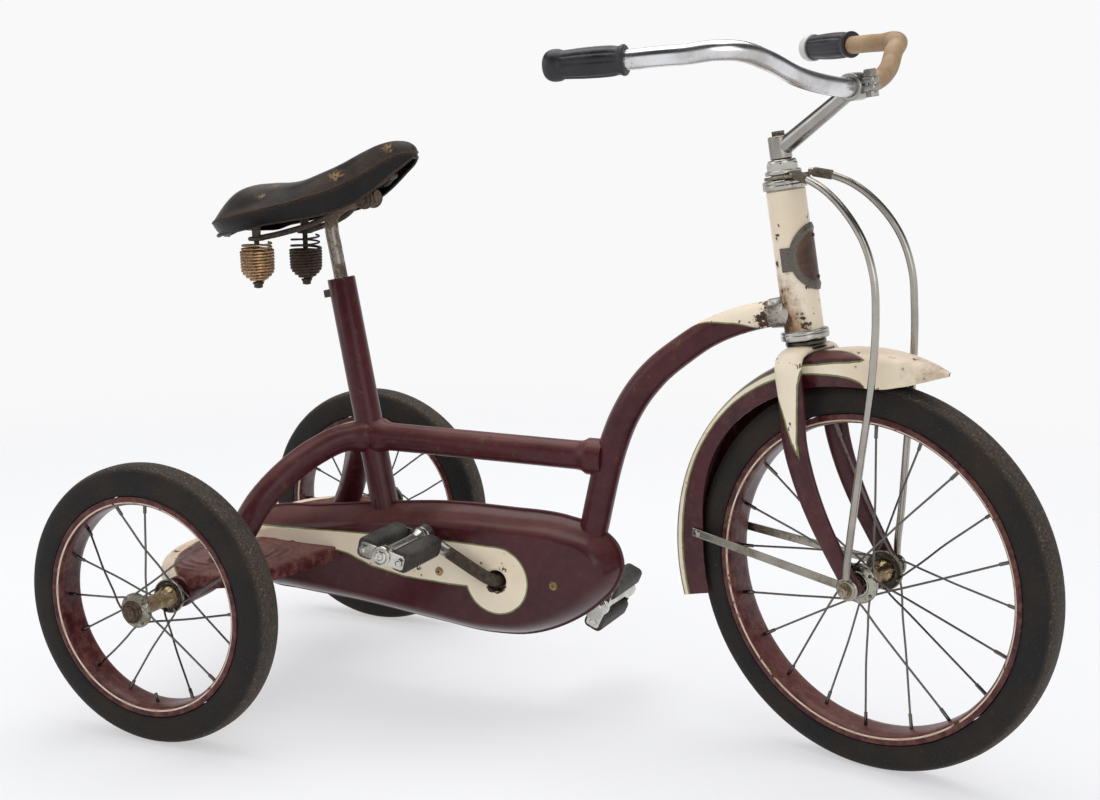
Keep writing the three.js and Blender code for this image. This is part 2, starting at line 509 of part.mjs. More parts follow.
// ---------------------------------------------------------------- wheels
const tyreProfile = (rim, r) => {
  const w = TYRE_W / 2, t = r - rim;
  return [[rim + GAP, -w + 1.5], [rim + t * 0.5, -w], [r - t * 0.17, -w * 0.86], [r, -w * 0.3],
    [r, w * 0.3], [r - t * 0.17, w * 0.86], [rim + t * 0.5, w], [rim + GAP, w - 1.5]];
};
const rimProfile = (rim) => {
  const w = TYRE_W / 2 - 0.8;
  return [[rim - RIM_DEPTH, 0], [rim - 3, w], [rim, w], [rim - RIM_DEPTH + 2.4, 0], [rim, -w], [rim - 3, -w]];
};
const hubWithSpokes = (c, rim, count, half, flangeR, bore, cross) => {
  const profile = [[bore, -half - 6], [9, -half - 6], [flangeR, -half - 2.5], [flangeR, -half + 2.5],
    [9, -half + 6], [9, half - 6],
    [flangeR, half - 2.5], [flangeR, half + 2.5], [9, half + 6], [bore, half + 6]];
  const pieces = [spun(profile, c, V(0, 1, 0), 10)];
  for (let k = 0; k < count; k++) {
    const trailing = Math.floor(k / 2) % 2, a = 2 * Math.PI * (k + 0.35) / count;
    const y = (k % 2 ? 1 : -1) * (half + (trailing ? 1.2 : -1.2)), b = a + (trailing ? cross : -cross) * RAD;
    const r0 = flangeR - 3, r1 = rim - RIM_DEPTH + 1 - GAP * 5;
    pieces.push(rod(V(c.x + r0 * Math.cos(b), c.y + y, c.z + r0 * Math.sin(b)),
      V(c.x + r1 * Math.cos(a), c.y + y * 0.12, c.z + r1 * Math.sin(a)), SPOKE_R, 3));
  }
  return join(pieces);
};
const wheel = (name, c, r, rim, spokes, half, flangeR, bore, matrix) => {
  add(name + '_tyre', spun(tyreProfile(rim, r), c, V(0, 1, 0), 24), 'rubber', matrix);
  add(name + '_rim', spun(rimProfile(rim), c, V(0, 1, 0), 24), 'maroon', matrix);
  add(name + '_hub', hubWithSpokes(c, rim, spokes, half, flangeR, bore, 52), 'brass', matrix);
};
for (const [side, s] of sides) {
  wheel('rear_' + side, V(0, s * TRACK / 2, AXLE_Z), REAR_WHEEL_R, REAR_RIM_R, REAR_SPOKES,
    29, 19, AXLE_R + 2 * GAP);
}
// straight axle with a collar inside and a hexagon nut outside each wheel
const AXLE_END = TRACK / 2 + 43;
const axleBar = rod(V(0, -AXLE_END, AXLE_Z), V(0, AXLE_END, AXLE_Z), AXLE_R, 12);
const axleNuts = sides.map(([, s]) => join(
  hexBar(V(0, s * (AXLE_END - 7), AXLE_Z), V(0, s * (AXLE_END - 1), AXLE_Z), 17),
  rod(V(0, s * (STAY_END + 1), AXLE_Z), V(0, s * (STAY_END + 6.5), AXLE_Z), 11, 12)));
add('rear_axle', join(axleBar, ...axleNuts), 'rust');

// ---------------------------------------------------------------- headset and fork
const along = (z, profile, seg = 14) => spun(profile, V(0, 0, z), V(0, 0, 1), seg);
add('headset_cup_lower', along(-6, [[18.2, 0], [22.5, 0], [23.2, 2], [23.2, 6], [20, 8.7], [15.9, 8.7],
  [15.9, 6]]), 'chrome', headFixed);
add('headset_cup_upper', along(HEAD_TOP + GAP, [[15.9, 0], [19.5, 0], [20.5, 3], [20.5, 8], [17.5, 9.5],
  [17.5, 5], [15.9, 3]]), 'chrome', headFixed);
const AXLE_W = V(FORK_OFFSET, 0, -FORK_DROP);
const LOCKNUT_Z = HEAD_TOP + 19.6;
const QUILL_R = 9.8;
const bladeLine = [[0, -17], [0, -40], [-1, -75], [-3, -107], [1, -141], [13, -187], [26.5, -222],
  [FORK_OFFSET, -FORK_DROP]];
const blade = (s) => {
  const curve = new THREE.CatmullRomCurve3(bladeLine.map(([x, z]) => V(x, 0, z)), false, 'centripetal');
  const rings = [];
  for (let i = 0; i <= 7; i++) {
    const t = i / 7, p = curve.getPoint(t), d = curve.getTangent(t);
    const wide = 15 - 5.5 * t, thick = 5.2 - 1.4 * t, y = s * (BLADE_Y - 1 + 1.5 * t);
    const ring = [];
    for (let k = 0; k < 8; k++) {
      const a = 2 * Math.PI * k / 8, c = Math.cos(a), n = Math.sin(a);
      const w = wide * Math.sign(c) * Math.abs(c) ** 0.8;
      ring.push(V(p.x - d.z * w, y + thick * Math.sign(n) * Math.abs(n) ** 0.7, p.z + d.x * w));
    }
    rings.push(ring);
  }
  return loft(rings);
};
const acrossAxle = (y0, y1, r, seg = 12) =>
  rod(V(FORK_OFFSET, y0, -FORK_DROP), V(FORK_OFFSET, y1, -FORK_DROP), r, seg);
const FRONT_AXLE_R = 5;
const axleBore = acrossAxle(-90, 90, FRONT_AXLE_R + GAP, 10);
const crown = join(
  rod(V(0, 0, -6.5), V(0, 0, -17.5), 17.5, 14, 19),
  bent([V(0, -BLADE_Y + 1, -25), V(0, -BLADE_Y + 6, -19), V(0, -20, -16), V(0, 0, -15.5), V(0, 20, -16),
    V(0, BLADE_Y - 6, -19), V(0, BLADE_Y - 1, -25)], 5.6, 6, 8),
);
const dropouts = sides.map(([, s]) => acrossAxle(s * (BLADE_Y - 3.3), s * (BLADE_Y + 3.3), 11, 8));
const steerer = rod(V(0, 0, -16), V(0, 0, LOCKNUT_Z + 11.4), STEERER_R, 14);
add('fork', join(crown, blade(-1), blade(1), ...dropouts, steerer)
  .subtract(rod(V(0, 0, -8), V(0, 0, LOCKNUT_Z + 17), QUILL_R + 2 * GAP, 10))
  .subtract(axleBore), 'maroon', STEER);
const upTo = (z0, z1, r, seg = 14, r1 = r) => rod(V(0, 0, z0), V(0, 0, z1), r, seg, r1);
add('headset_locknut', join(
  upTo(LOCKNUT_Z, LOCKNUT_Z + 4.4, 17.4),
  hexBar(V(0, 0, LOCKNUT_Z + 3.4), V(0, 0, LOCKNUT_Z + 11.4), 29),
  upTo(LOCKNUT_Z + 10.4, LOCKNUT_Z + 14.9, 15, 14, 13.6),
).subtract(upTo(LOCKNUT_Z - 8, LOCKNUT_Z + 12.4, STEERER_R + 2 * GAP))
  .subtract(upTo(LOCKNUT_Z, LOCKNUT_Z + 22, QUILL_R + 2 * GAP)), 'chrome', STEER);

// truss bracket: a plate clamped under the locknut with one sleeve for each rod
const PLATE_Z = LOCKNUT_Z - 4.6, PLATE_T = 3.8;
const bracketPlate = join(upTo(PLATE_Z, PLATE_Z + PLATE_T, 18.6, 16),
  slab([[0, PLATE_Z], [30, PLATE_Z], [30, PLATE_Z + PLATE_T], [0, PLATE_Z + PLATE_T]], -20, 20));
const sleeves = sides.map(([, s]) =>
  rod(V(24, s * 16.5, PLATE_Z + 2.5), V(44, s * 24.5, PLATE_Z - 4), 6, 10));
const trussPoints = (s) => [
  V(20, s * 15, PLATE_Z + 3.6), V(39.5, s * 22.5, PLATE_Z - 2.4), V(60, s * 28, PLATE_Z - 14),
  V(88, s * 33, PLATE_Z - 42), V(106, s * 35.5, PLATE_Z - 74), V(113.5, s * 37, PLATE_Z - 106),
  V(112, s * (BLADE_Y - 2), 10), V(101, s * (BLADE_Y + 1), -50), V(80, s * (BLADE_Y + 6), 126 - FORK_DROP),
  V(58, s * (BLADE_Y + 10.5), 51 - FORK_DROP), V(FORK_OFFSET + 5, s * (BLADE_Y + 10.8), 20 - FORK_DROP),
  V(FORK_OFFSET + 3, s * (BLADE_Y + 10.8), 11 - FORK_DROP),
];
const truss = (s, extra) => bent(trussPoints(s), 3.8 + extra, 12, 6);
add('truss_bracket', join(bracketPlate, ...sleeves)
  .subtract(upTo(PLATE_Z - 4, PLATE_Z + 6, STEERER_R + GAP))
  .subtract(truss(-1, GAP)).subtract(truss(1, GAP)), 'chrome', STEER);
for (const [side, s] of sides) {
  const eye = acrossAxle(s * (BLADE_Y + 7.4), s * (BLADE_Y + 11), 12);
  add('truss_rod_' + side, join(truss(s, 0), eye).subtract(axleBore), 'chrome', STEER);
}

// ---------------------------------------------------------------- front fender
const FENDER_R = FRONT_WHEEL_R + 32.5, FENDER_W = 27, FENDER_T = 1.4;
const fenderStations = [
  // angle above the front horizontal, edge radius, half width
  [194, 190, 25], [184, 190, 26], [174, 191, 27], [163, 198, 27], [151, 205, 27], [139, 208, 27],
  [127, 207, 27], [115, 204, 27], [103, 202, 27], [92, 200.5, 26.5], [85, 201.5, 24], [79, 208, 18],
  [74, 218, 11], [69, 231.5, 2.5],
];
const fenderSection = (deg, edge, half, skin) => {
  const a = (deg - HEAD_RAKE) * RAD, row = [];
  const top = FENDER_R - skin - 4.5 * Math.max(0, (deg - 110) / 84) ** 0.8;
  for (let j = 0; j <= 6; j++) {
    const t = -1 + j / 3, k = Math.abs(t);
    const y = Math.sign(t) * Math.min(1, 1.28 * Math.sin(k * Math.PI / 2 * 0.86)) * (half - skin);
    const r = top - (top - edge) * (1 - Math.sqrt(Math.max(0, 1 - k ** 2.3))) * (k < 1 ? 0.86 : 1);
    row.push(V(FORK_OFFSET + r * Math.cos(a), y, -FORK_DROP + r * Math.sin(a)));
  }
  return row;
};
const fender = (skin) =>
  fenderStations.map(([d, e, h]) => fenderSection(d, e, Math.max(h, skin + 0.6), skin));
const stayTab = V(-202, 0, 21);
const fenderPoint = (f, z) => V(
  FORK_OFFSET + f * Math.cos(HEAD_RAKE * RAD) + z * Math.sin(HEAD_RAKE * RAD), 0,
  -FORK_DROP - f * Math.sin(HEAD_RAKE * RAD) + z * Math.cos(HEAD_RAKE * RAD));
add('front_fender', sheet(fender(0), fender(FENDER_T)), 'maroon', STEER);
for (const [side, s] of sides) {
  const a = fenderPoint(stayTab.x, stayTab.z), b = V(FORK_OFFSET, 0, -FORK_DROP);
  a.y = s * (FENDER_W + 1.6);
  b.y = s * (BLADE_Y + 5.7);
  const d = b.clone().sub(a).normalize(), up = V(0, s, 0).cross(d).normalize(), out = d.clone().cross(up);
  const ring = (p, w) => [[-1, -1], [1, -1], [1, 1], [-1, 1]].map(([i, k]) =>
    p.clone().addScaledVector(up, i * w).addScaledVector(out, k * 1.0));
  add('fender_stay_' + side, join(loft([ring(a, 4.5), ring(b, 4.5)]),
    acrossAxle(s * (BLADE_Y + 4.6), s * (BLADE_Y + 6.8), 9.5, 10)).subtract(axleBore), 'steel', STEER);
}
add('front_axle', join(acrossAxle(-BLADE_Y - 20, BLADE_Y + 20, FRONT_AXLE_R, 10),
  ...sides.map(([, s]) => hexBar(V(FORK_OFFSET, s * (BLADE_Y + 11.4), -FORK_DROP),
    V(FORK_OFFSET, s * (BLADE_Y + 18), -FORK_DROP), 14))), 'rust', STEER);
wheel('front', AXLE_W, FRONT_WHEEL_R, FRONT_RIM_R, FRONT_SPOKES,
  BLADE_Y - 14, 20.5, FRONT_AXLE_R + GAP, STEER);

// ---------------------------------------------------------------- stem, bars and grips
const BAR_R = 9.5;
const BAR_HALF = 224;            // handlebar end from the middle
const CLAMP = V(93, 0, HEAD_TOP + 93);
// behind and above the clamp in millimetres, out to the side in shares of the half width
const barShape = [
  [-179, 1, 59], [-146, 0.9487, 55.75], [-113, 0.8973, 52.5], [-85, 0.8527, 49.5],
  [-65, 0.817, 47], [-35, 0.75, 40], [-21, 0.6786, 31], [-12, 0.5357, 18], [-5, 0.375, 8],
  [-1, 0.2054, 1.5], [0, 0.1071, 0],
];
const barPoints = [
  ...barShape.map(([x, y, z]) => V(CLAMP.x + x, -y * BAR_HALF, CLAMP.z + z)), CLAMP.clone(),
  ...barShape.map(([x, y, z]) => V(CLAMP.x + x, y * BAR_HALF, CLAMP.z + z)).reverse(),
];
const QUILL_TOP = HEAD_TOP + 55;
const stemPath = [V(2, 0, CLAMP.z - 48), V(28, 0, CLAMP.z - 34.5), V(56, 0, CLAMP.z - 20),
  V(84, 0, CLAMP.z - 5.5)];
const acrossBar = (half, r, seg = 12) => rod(V(CLAMP.x, -half, CLAMP.z), V(CLAMP.x, half, CLAMP.z), r, seg);
const clampEars = box(21, 14, 13, V(CLAMP.x + 15, 0, CLAMP.z));
const boltX = CLAMP.x + 18.5;
add('stem', join(upTo(88, QUILL_TOP, QUILL_R, 12), bent(stemPath, 8.4, 3, 10),
  acrossBar(11, BAR_R + 4, 14), clampEars)
  .subtract(acrossBar(20, BAR_R + 3 * GAP))
  .subtract(box(30, 32, 2, V(CLAMP.x + 20, 0, CLAMP.z)))
  .subtract(rod(V(boltX, 0, CLAMP.z - 12), V(boltX, 0, CLAMP.z + 12), 3 + GAP, 8))
  .subtract(upTo(70, QUILL_TOP + 6, 3.5 + 2 * GAP, 8)), 'chrome', STEER);
add('stem_bolt', join(upTo(76, QUILL_TOP + 7, 3.5, 8),
  hexBar(V(0, 0, QUILL_TOP + 2), V(0, 0, QUILL_TOP + 8), 12), upTo(74, 86, 9.4, 10, 8)), 'rust', STEER);
add('clamp_bolt', join(rod(V(boltX, 0, CLAMP.z - 12), V(boltX, 0, CLAMP.z + 14), 3, 8),
  hexBar(V(boltX, 0, CLAMP.z + 7), V(boltX, 0, CLAMP.z + 14), 11.5),
  hexBar(V(boltX, 0, CLAMP.z - 12.5), V(boltX, 0, CLAMP.z - 7), 11.5)), 'steel', STEER);
add('handlebar', bent(barPoints, BAR_R, 24, 8), 'chrome', STEER);
for (const [side, s] of sides) {
  const b = V(CLAMP.x - 113, s * BAR_HALF * 0.8973, CLAMP.z + 52.5);
  const a = V(CLAMP.x - 181, s * (BAR_HALF + 0.7), CLAMP.z + 59.2);
  const d = b.clone().sub(a).normalize(), len = a.distanceTo(b);
  const bore = BAR_R + 2 * GAP;
  const sleeve = [[0, -11], [9, -11], [13.5, -8], [14.2, -3], [13.2, 2], [12.8, 10], [12.6, len - 16],
    [15.5, len - 2], [15.5, len + 2], [bore, len + 2], [bore, -1], [0, -1]];
  add('grip_' + side, spun(sleeve, a, d, 12), 'rubber', STEER);
}

// ---------------------------------------------------------------- seat post, clamp and saddle
const postTop = onSeat(SEAT_TUBE_TOP + 78);
const postBend = [onSeat(SEAT_TUBE_TOP - 120), onSeat(SEAT_TUBE_TOP), onSeat(SEAT_TUBE_TOP + 35),
  onSeat(SEAT_TUBE_TOP + 56),
  onSeat(SEAT_TUBE_TOP + 68).add(V(3, 0, 2)), onSeat(SEAT_TUBE_TOP + 74).add(V(14, 0, 6)),
  V(postTop.x + 42, 0, postTop.z + 12), V(postTop.x + 66, 0, postTop.z + 16)];
add('seat_post', bent(postBend, POST_R, 16, 10), 'steel');
add('seat_bolt', join(rod(seatAt(POST_R + 0.6), seatAt(TUBE_R + 5), 2.9, 10),
  box(8, 9, 9, V(0, 0, 0)).transform(aim(seatAt(TUBE_R + 4.5), seatBoltOut).elements)), 'rust');
const SADDLE_PIVOT = V(postTop.x + 54, 0, postTop.z + 14);
const CLAMP_HALF = 12;
const EYE_T = 3.6;
const CLAMP_PIN_R = 3.2;
const acrossPivot = (y0, y1) =>
  [V(SADDLE_PIVOT.x, y0, SADDLE_PIVOT.z), V(SADDLE_PIVOT.x, y1, SADDLE_PIVOT.z)];
add('saddle_clamp', join(
  rod(...acrossPivot(-CLAMP_HALF, CLAMP_HALF), 11.5, 12)
    .subtract(bent(postBend, POST_R + GAP, 16, 10)),
  rod(...acrossPivot(-CLAMP_HALF - EYE_T - 7, -POST_R - 2), CLAMP_PIN_R, 8),
  rod(...acrossPivot(POST_R + 2, CLAMP_HALF + EYE_T + 7), CLAMP_PIN_R, 8),
  ...sides.map(([, s]) => hexBar(...acrossPivot(s * (CLAMP_HALF + EYE_T + 2 * GAP),
    s * (CLAMP_HALF + EYE_T + 2 * GAP + 5)), 11)),
), 'rust');
const saddleStations = [
  // x, top, seam and skirt heights from the pivot, then the half width
  [-183, -26, -31, -41, 22], [-179, -12, -28, -43, 45], [-168, 2, -24, -43, 62],
  [-151, 11, -18, -40, 74], [-129, 15, -13, -35, 79], [-103, 16.5, -7, -28, 76],
  [-77, 20, -1, -21, 62], [-51, 30, 6, -15, 46], [-27, 40.5, 13, -10, 34], [-3, 52, 23, -1, 27],
  [19, 61, 35, 11, 22.5], [39, 64.5, 46, 24, 18], [54, 62, 52, 37, 13], [62, 56.5, 52, 46, 6],
];
const onSaddle = (x, y, z) => V(SADDLE_PIVOT.x + x, y, SADDLE_PIVOT.z + z);
const saddleRings = (skin, sink) => saddleStations.map(([x, top, seam, skirt, w], i) => {
  const ring = [];
  const ww = Math.max(w - skin, 1);
  const end = i === 0 ? skin : i === saddleStations.length - 1 ? -skin : 0;
  const tz = Math.max(top - skin, skirt + 1);
  for (let j = 0; j <= 8; j++) {
    const t = 1 - j / 4;
    const z = seam - skin + (tz - seam + skin) * (1 - Math.abs(t) ** 2.4);
    ring.push(onSaddle(x + end, ww * Math.sign(t) * Math.abs(t) ** 0.92, z));
  }
  ring.push(onSaddle(x + end, -ww + 1, skirt - sink), onSaddle(x + end, ww - 1, skirt - sink));
  return ring;
});
const hollow = saddleRings(3.4, 20).filter((_, i) => i % 2 === 0 || i === saddleStations.length - 1);
add('saddle_leather', loft(saddleRings(0, 0)).subtract(loft(hollow)), 'leather');
const SPRING_X = -118.4;
const SPRING_Y = 50;
const SPRING_FOOT = -101;
const SPRING_TALL = 50.5;
const railLeg = (s) => [
  [30, 6, 26], [20, 9, 18], [2, 17, 13.5], [-14, 19.6, 7], [-40, 23, -18], [SPRING_X + 26, 36, -38],
  [SPRING_X, SPRING_Y, -44],
].map(([x, y, z]) => onSaddle(x, s * y, z));
const eye = (s) => join(
  rod(...acrossPivot(s * (CLAMP_HALF + GAP), s * (CLAMP_HALF + GAP + EYE_T)), 9.5, 10),
  box(11, EYE_T, 13, onSaddle(0, s * (CLAMP_HALF + GAP + EYE_T / 2), 7)),
).subtract(rod(...acrossPivot(-40, 40), CLAMP_PIN_R + 2 * GAP, 8));
const post = (s, z0, z1, r, seg) =>
  rod(onSaddle(SPRING_X, s * SPRING_Y, z0), onSaddle(SPRING_X, s * SPRING_Y, z1), r, seg);
// each spring hangs from a plate on the rail; a post seats the leather, a bolt runs down through the coil
const springMount = (s) => join(post(s, -48, -42, 15, 10), post(s, -46, -1.8, 5, 8), post(s, -111, -44, 3, 6),
  hexBar(onSaddle(SPRING_X, s * SPRING_Y, -111), onSaddle(SPRING_X, s * SPRING_Y, -103.5), 18));
add('saddle_frame', join(
  ...sides.map(([, s]) => join(bent(railLeg(s), 3.4, 8, 6), eye(s), springMount(s))),
  rod(onSaddle(30, -8, 26), onSaddle(30, 8, 26), 4.5, 8),
  rod(onSaddle(30, 0, 26), onSaddle(30, 0, 56.8), 4, 8)), 'rust');
for (const [side, s] of sides) {
  const turns = 6, coil = [];
  for (let i = 0; i <= turns * 8; i++) {
    const t = i / (turns * 8), a = 2 * Math.PI * turns * t;
    const r = t < 0.35 ? 9 + 7.5 * Math.sin(t / 0.35 * Math.PI / 2) : 16.5 - 1.5 * (t - 0.35);
    coil.push(onSaddle(SPRING_X + r * Math.cos(a), s * (SPRING_Y + r * Math.sin(a)),
      SPRING_FOOT + SPRING_TALL * t));
  }
  add('saddle_spring_' + side, bent(coil, 2.2, turns * 8, 3), 'brass');
}

// ---------------------------------------------------------------- head badge
const BADGE_Z = HEAD_TOP * 0.56; // middle of the badge, along the head tube
const BADGE_TALL = 31, BADGE_WING = 11;
const badgeSkin = (r) => [-31, -24, -13, -11, 0, 11, 13, 24, 31].map((dz) => {
  const oval = 50 * Math.sqrt(Math.max(0.03, 1 - (dz / BADGE_TALL) ** 2));
  const reach = Math.abs(dz) <= BADGE_WING ? 76 : oval;
  return [-1, -0.6, -0.2, 0.2, 0.6, 1].map((t) => {
    const a = t * reach * RAD;
    return V(r * Math.cos(a), r * Math.sin(a), BADGE_Z + dz);
  });
});
add('head_badge', sheet(badgeSkin(HEAD_R + 4.2), badgeSkin(HEAD_R + 2.4)), 'brass', headFixed);

export default part;
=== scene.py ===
"""Looks of a children's chain-drive tricycle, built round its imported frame.

Sizes are in millimetres and turn into metres where a mesh is made. +X is forward, +Y the
rider's left, +Z up, and the floor is at zero.
"""
import json
import math

import bpy
import numpy as np
from mathutils import Matrix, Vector
from numpy.linalg import norm


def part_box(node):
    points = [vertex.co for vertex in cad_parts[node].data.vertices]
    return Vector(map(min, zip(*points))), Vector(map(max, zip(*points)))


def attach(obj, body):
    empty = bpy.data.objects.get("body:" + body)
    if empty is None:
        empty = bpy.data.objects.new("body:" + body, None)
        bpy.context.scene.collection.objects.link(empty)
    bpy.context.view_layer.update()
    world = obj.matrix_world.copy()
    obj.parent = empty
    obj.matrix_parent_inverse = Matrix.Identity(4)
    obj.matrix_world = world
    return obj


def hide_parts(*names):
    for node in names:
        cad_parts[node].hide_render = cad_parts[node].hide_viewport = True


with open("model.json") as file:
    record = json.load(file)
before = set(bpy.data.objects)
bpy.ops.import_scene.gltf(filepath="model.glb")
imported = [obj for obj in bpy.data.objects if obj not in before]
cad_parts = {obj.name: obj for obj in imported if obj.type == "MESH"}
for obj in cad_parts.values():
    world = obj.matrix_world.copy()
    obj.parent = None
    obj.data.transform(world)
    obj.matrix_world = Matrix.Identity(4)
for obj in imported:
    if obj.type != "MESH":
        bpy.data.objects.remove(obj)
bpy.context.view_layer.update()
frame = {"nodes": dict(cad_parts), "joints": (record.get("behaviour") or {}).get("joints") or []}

# ---------------------------------------------------------------------------------------
# Shader tools. A material is written as plain arithmetic on the outputs of its nodes, and each
# step adds a node. Old finishes share one group of large patches, fine specks and settled dust.


class Signal:
    """A shader output that takes arithmetic with numbers and with other outputs."""

    def __init__(self, socket):
        self.socket = socket

    def step(self, operation, other):
        """One Math node on this output and another value."""
        made = node(self.socket.id_data, "ShaderNodeMath", {0: self, 1: other}, operation=operation)
        return Signal(made.outputs[0])

    def __add__(self, other):
        return self.step("ADD", other)

    def __sub__(self, other):
        return self.step("SUBTRACT", other)

    def __mul__(self, other):
        return self.step("MULTIPLY", other)


def linear(red, green, blue):
    """Colour as written on a screen, 0 to 255, turned into the linear values that shaders use."""
    c = np.array([red, green, blue]) / 255
    return (*np.where(c <= 0.04045, c / 12.92, ((c + 0.055) / 1.055) ** 2.4), 1.0)


def node(tree, kind, sockets=None, **settings):
    """Adds a shader node. Each socket gets a plain value or is joined to another node's output."""
    made = tree.nodes.new(kind)
    for name, value in settings.items():
        setattr(made, name, value)
    for name, value in (sockets or {}).items():
        source = getattr(value, "socket", value)
        if isinstance(source, bpy.types.NodeSocket):
            tree.links.new(source, made.inputs[name])
        else:
            made.inputs[name].default_value = value
    return made


def attribute(tree, name):
    """The field of that name that is painted on a mesh's points."""
    return Signal(node(tree, "ShaderNodeAttribute", attribute_name=name).outputs["Fac"])


def upward(tree):
    """How far a surface faces up, from -1 to 1."""
    normal = node(tree, "ShaderNodeTexCoord").outputs["Normal"]
    return Signal(node(tree, "ShaderNodeSeparateXYZ", {0: normal}).outputs["Z"])


def noise(vector, scale, detail, rough):
    """Cloud noise from 0 to 1 at so many cycles a metre."""
    sockets = {"Vector": vector, "Scale": scale, "Detail": detail, "Roughness": rough}
    return Signal(node(vector.id_data, "ShaderNodeTexNoise", sockets).outputs[0])


def ramp(value, low, high, to_low=0.0, to_high=1.0):
    """Smooth step of a value from low to high."""
    sockets = {"Value": value, "From Min": low, "From Max": high, "To Min": to_low, "To Max": to_high}
    tree = value.socket.id_data
    return Signal(node(tree, "ShaderNodeMapRange", sockets, interpolation_type="SMOOTHSTEP").outputs[0])


def tint(mask, under, over):
    """Lays one colour over another where the mask is 1. Plain colours are as written on a screen."""
    under, over = (linear(*c) if isinstance(c, tuple) else c for c in (under, over))
    made = node(mask.socket.id_data, "ShaderNodeMix", {0: mask, 6: under, 7: over}, data_type="RGBA")
    return Signal(made.outputs[2])


def open_group(name, inputs):
    """A new shader group, its inputs, and the object's places moved by the input called Shift."""
    group = bpy.data.node_groups.new(name, "ShaderNodeTree")
    for label, value in {"Shift": 0.0, **inputs}.items():
        kind = "NodeSocketFloat" if isinstance(value, float) else "NodeSocketColor"
        group.interface.new_socket(label, in_out="INPUT", socket_type=kind).default_value = value
    given = {socket.name: Signal(socket) for socket in node(group, "NodeGroupInput").outputs if socket.name}
    where = node(group, "ShaderNodeTexCoord").outputs["Object"]
    moved = node(group, "ShaderNodeVectorMath", {0: where, 1: given["Shift"]}, operation="ADD")
    return group, given, moved.outputs[0]


def close_group(group, results):
    """Gives a shader group its outputs by name. Colour is a colour, and the others are numbers."""
    for label in results:
        kind = "NodeSocketColor" if label == "Colour" else "NodeSocketFloat"
        group.interface.new_socket(label, in_out="OUTPUT", socket_type=kind)
    node(group, "NodeGroupOutput", results)


def use(tree, group, values):
    """Places a shader group in a material with its own values, and returns its outputs."""
    made = node(tree, "ShaderNodeGroup", values, node_tree=group)
    return {socket.name: Signal(socket) for socket in made.outputs}


def blank_material(name):
    """A new material with nothing in it, and its node tree."""
    material = bpy.data.materials.new(name)
    material.use_nodes = True
    material.node_tree.nodes.clear()
    return material, material.node_tree


def finished(material, colour, rough, height, depth, specular=0.5, metallic=0.0, gloss=0.0):
    """Ends a material in one surface. Its height, from 0 to 1, stands for so many metres of relief."""
    tree = material.node_tree
    bump = node(tree, "ShaderNodeBump", {"Height": height, "Strength": 1.0, "Distance": depth})
    surface = node(tree, "ShaderNodeBsdfPrincipled", {
        "Base Color": colour, "Roughness": rough, "Metallic": metallic, "Specular IOR Level": specular,
        "Coat Weight": gloss, "Coat Roughness": 0.16, "Normal": bump.outputs[0]})
    node(tree, "ShaderNodeOutputMaterial", {"Surface": surface.outputs[0]})
    return material


grime, given, spread = open_group("Settled Grime", {"Patch Scale": 14.0, "Speck Scale": 260.0})
patches = noise(spread, given["Patch Scale"], 4.0, 0.6)
close_group(grime, {"Patches": patches, "Specks": noise(spread, given["Speck Scale"], 2.0, 0.7),
                    "Dust": ramp(upward(grime), 0.1, 1.0) * ramp(patches, 0.35, 0.65)})

# ---------------------------------------------------------------------------------------
# Studio. A pale floor runs out to a pale sky, so that the tricycle stands alone. One broad
# panel of light hangs overhead, and two weaker ones stand on the near side, ahead and behind.


def turn(heading, dip, roll):
    """Camera axes as columns: heading turns left from +Y, dip looks down, roll tips the view."""
    right = np.array([math.cos(heading), math.sin(heading), 0.0])
    ahead_level = np.array([-right[1], right[0], 0.0])
    forward = ahead_level * math.cos(dip) - (0.0, 0.0, math.sin(dip))
    up = np.cross(right, forward)
    tipped = right * math.cos(roll) + up * math.sin(roll)
    return np.column_stack([tipped, np.cross(-forward, tipped), -forward])


def place(thing, point, axes):
    """Stands an object at a point in metres, with its axes as the columns of a 3x3 array."""
    matrix = Matrix.Identity(4)
    for row in range(3):
        matrix[row][3] = point[row]
        for column in range(3):
            matrix[row][column] = axes[row, column]
    thing.matrix_world = matrix


def added(name, data):
    """A new object in the scene."""
    made = bpy.data.objects.new(name, data)
    bpy.context.scene.collection.objects.link(made)
    return made


def seen_rays(tree):
    """1 for rays from the eye: straight, through glass, or off a shiny surface."""
    rays = node(tree, "ShaderNodeLightPath").outputs
    straight = Signal(rays["Is Camera Ray"]).step("MAXIMUM", rays["Is Transmission Ray"])
    return straight.step("MAXIMUM", rays["Is Glossy Ray"])


lens_view = 35.03  # degrees across the picture
heading, dip, roll = np.radians([25.04, 10.52, -0.71])
camera = added("camera", bpy.data.cameras.new("camera"))
camera.data.angle = math.radians(lens_view)
place(camera, (1.1538, -1.6940, 0.7062), turn(heading, dip, roll))
bpy.context.scene.camera = camera

for name, point, size, watts, aim_at in (
        ("overhead_panel", (0.1, 0.5, 2.6), 2.6, 46.0, (0.3, 0.0, 0.2)),
        ("front_panel", (2.2, -1.9, 1.5), 1.8, 13.0, (0.4, 0.0, 0.3)),
        ("rear_panel", (-2.0, -1.2, 1.6), 1.6, 9.0, (0.1, 0.0, 0.3))):
    light = bpy.data.lights.new(name, "AREA")
    light.size = size
    light.energy = watts
    away = np.array(point) - np.array(aim_at)
    away /= norm(away)
    side = np.cross((0.0, 1.0, 0.0), away)
    side /= norm(side)
    place(added(name, light), point, np.column_stack([side, np.cross(away, side), away]))

world = bpy.data.worlds.new("pale_room")
world.use_nodes = True
bpy.context.scene.world = world
tree = world.node_tree
tree.nodes.clear()
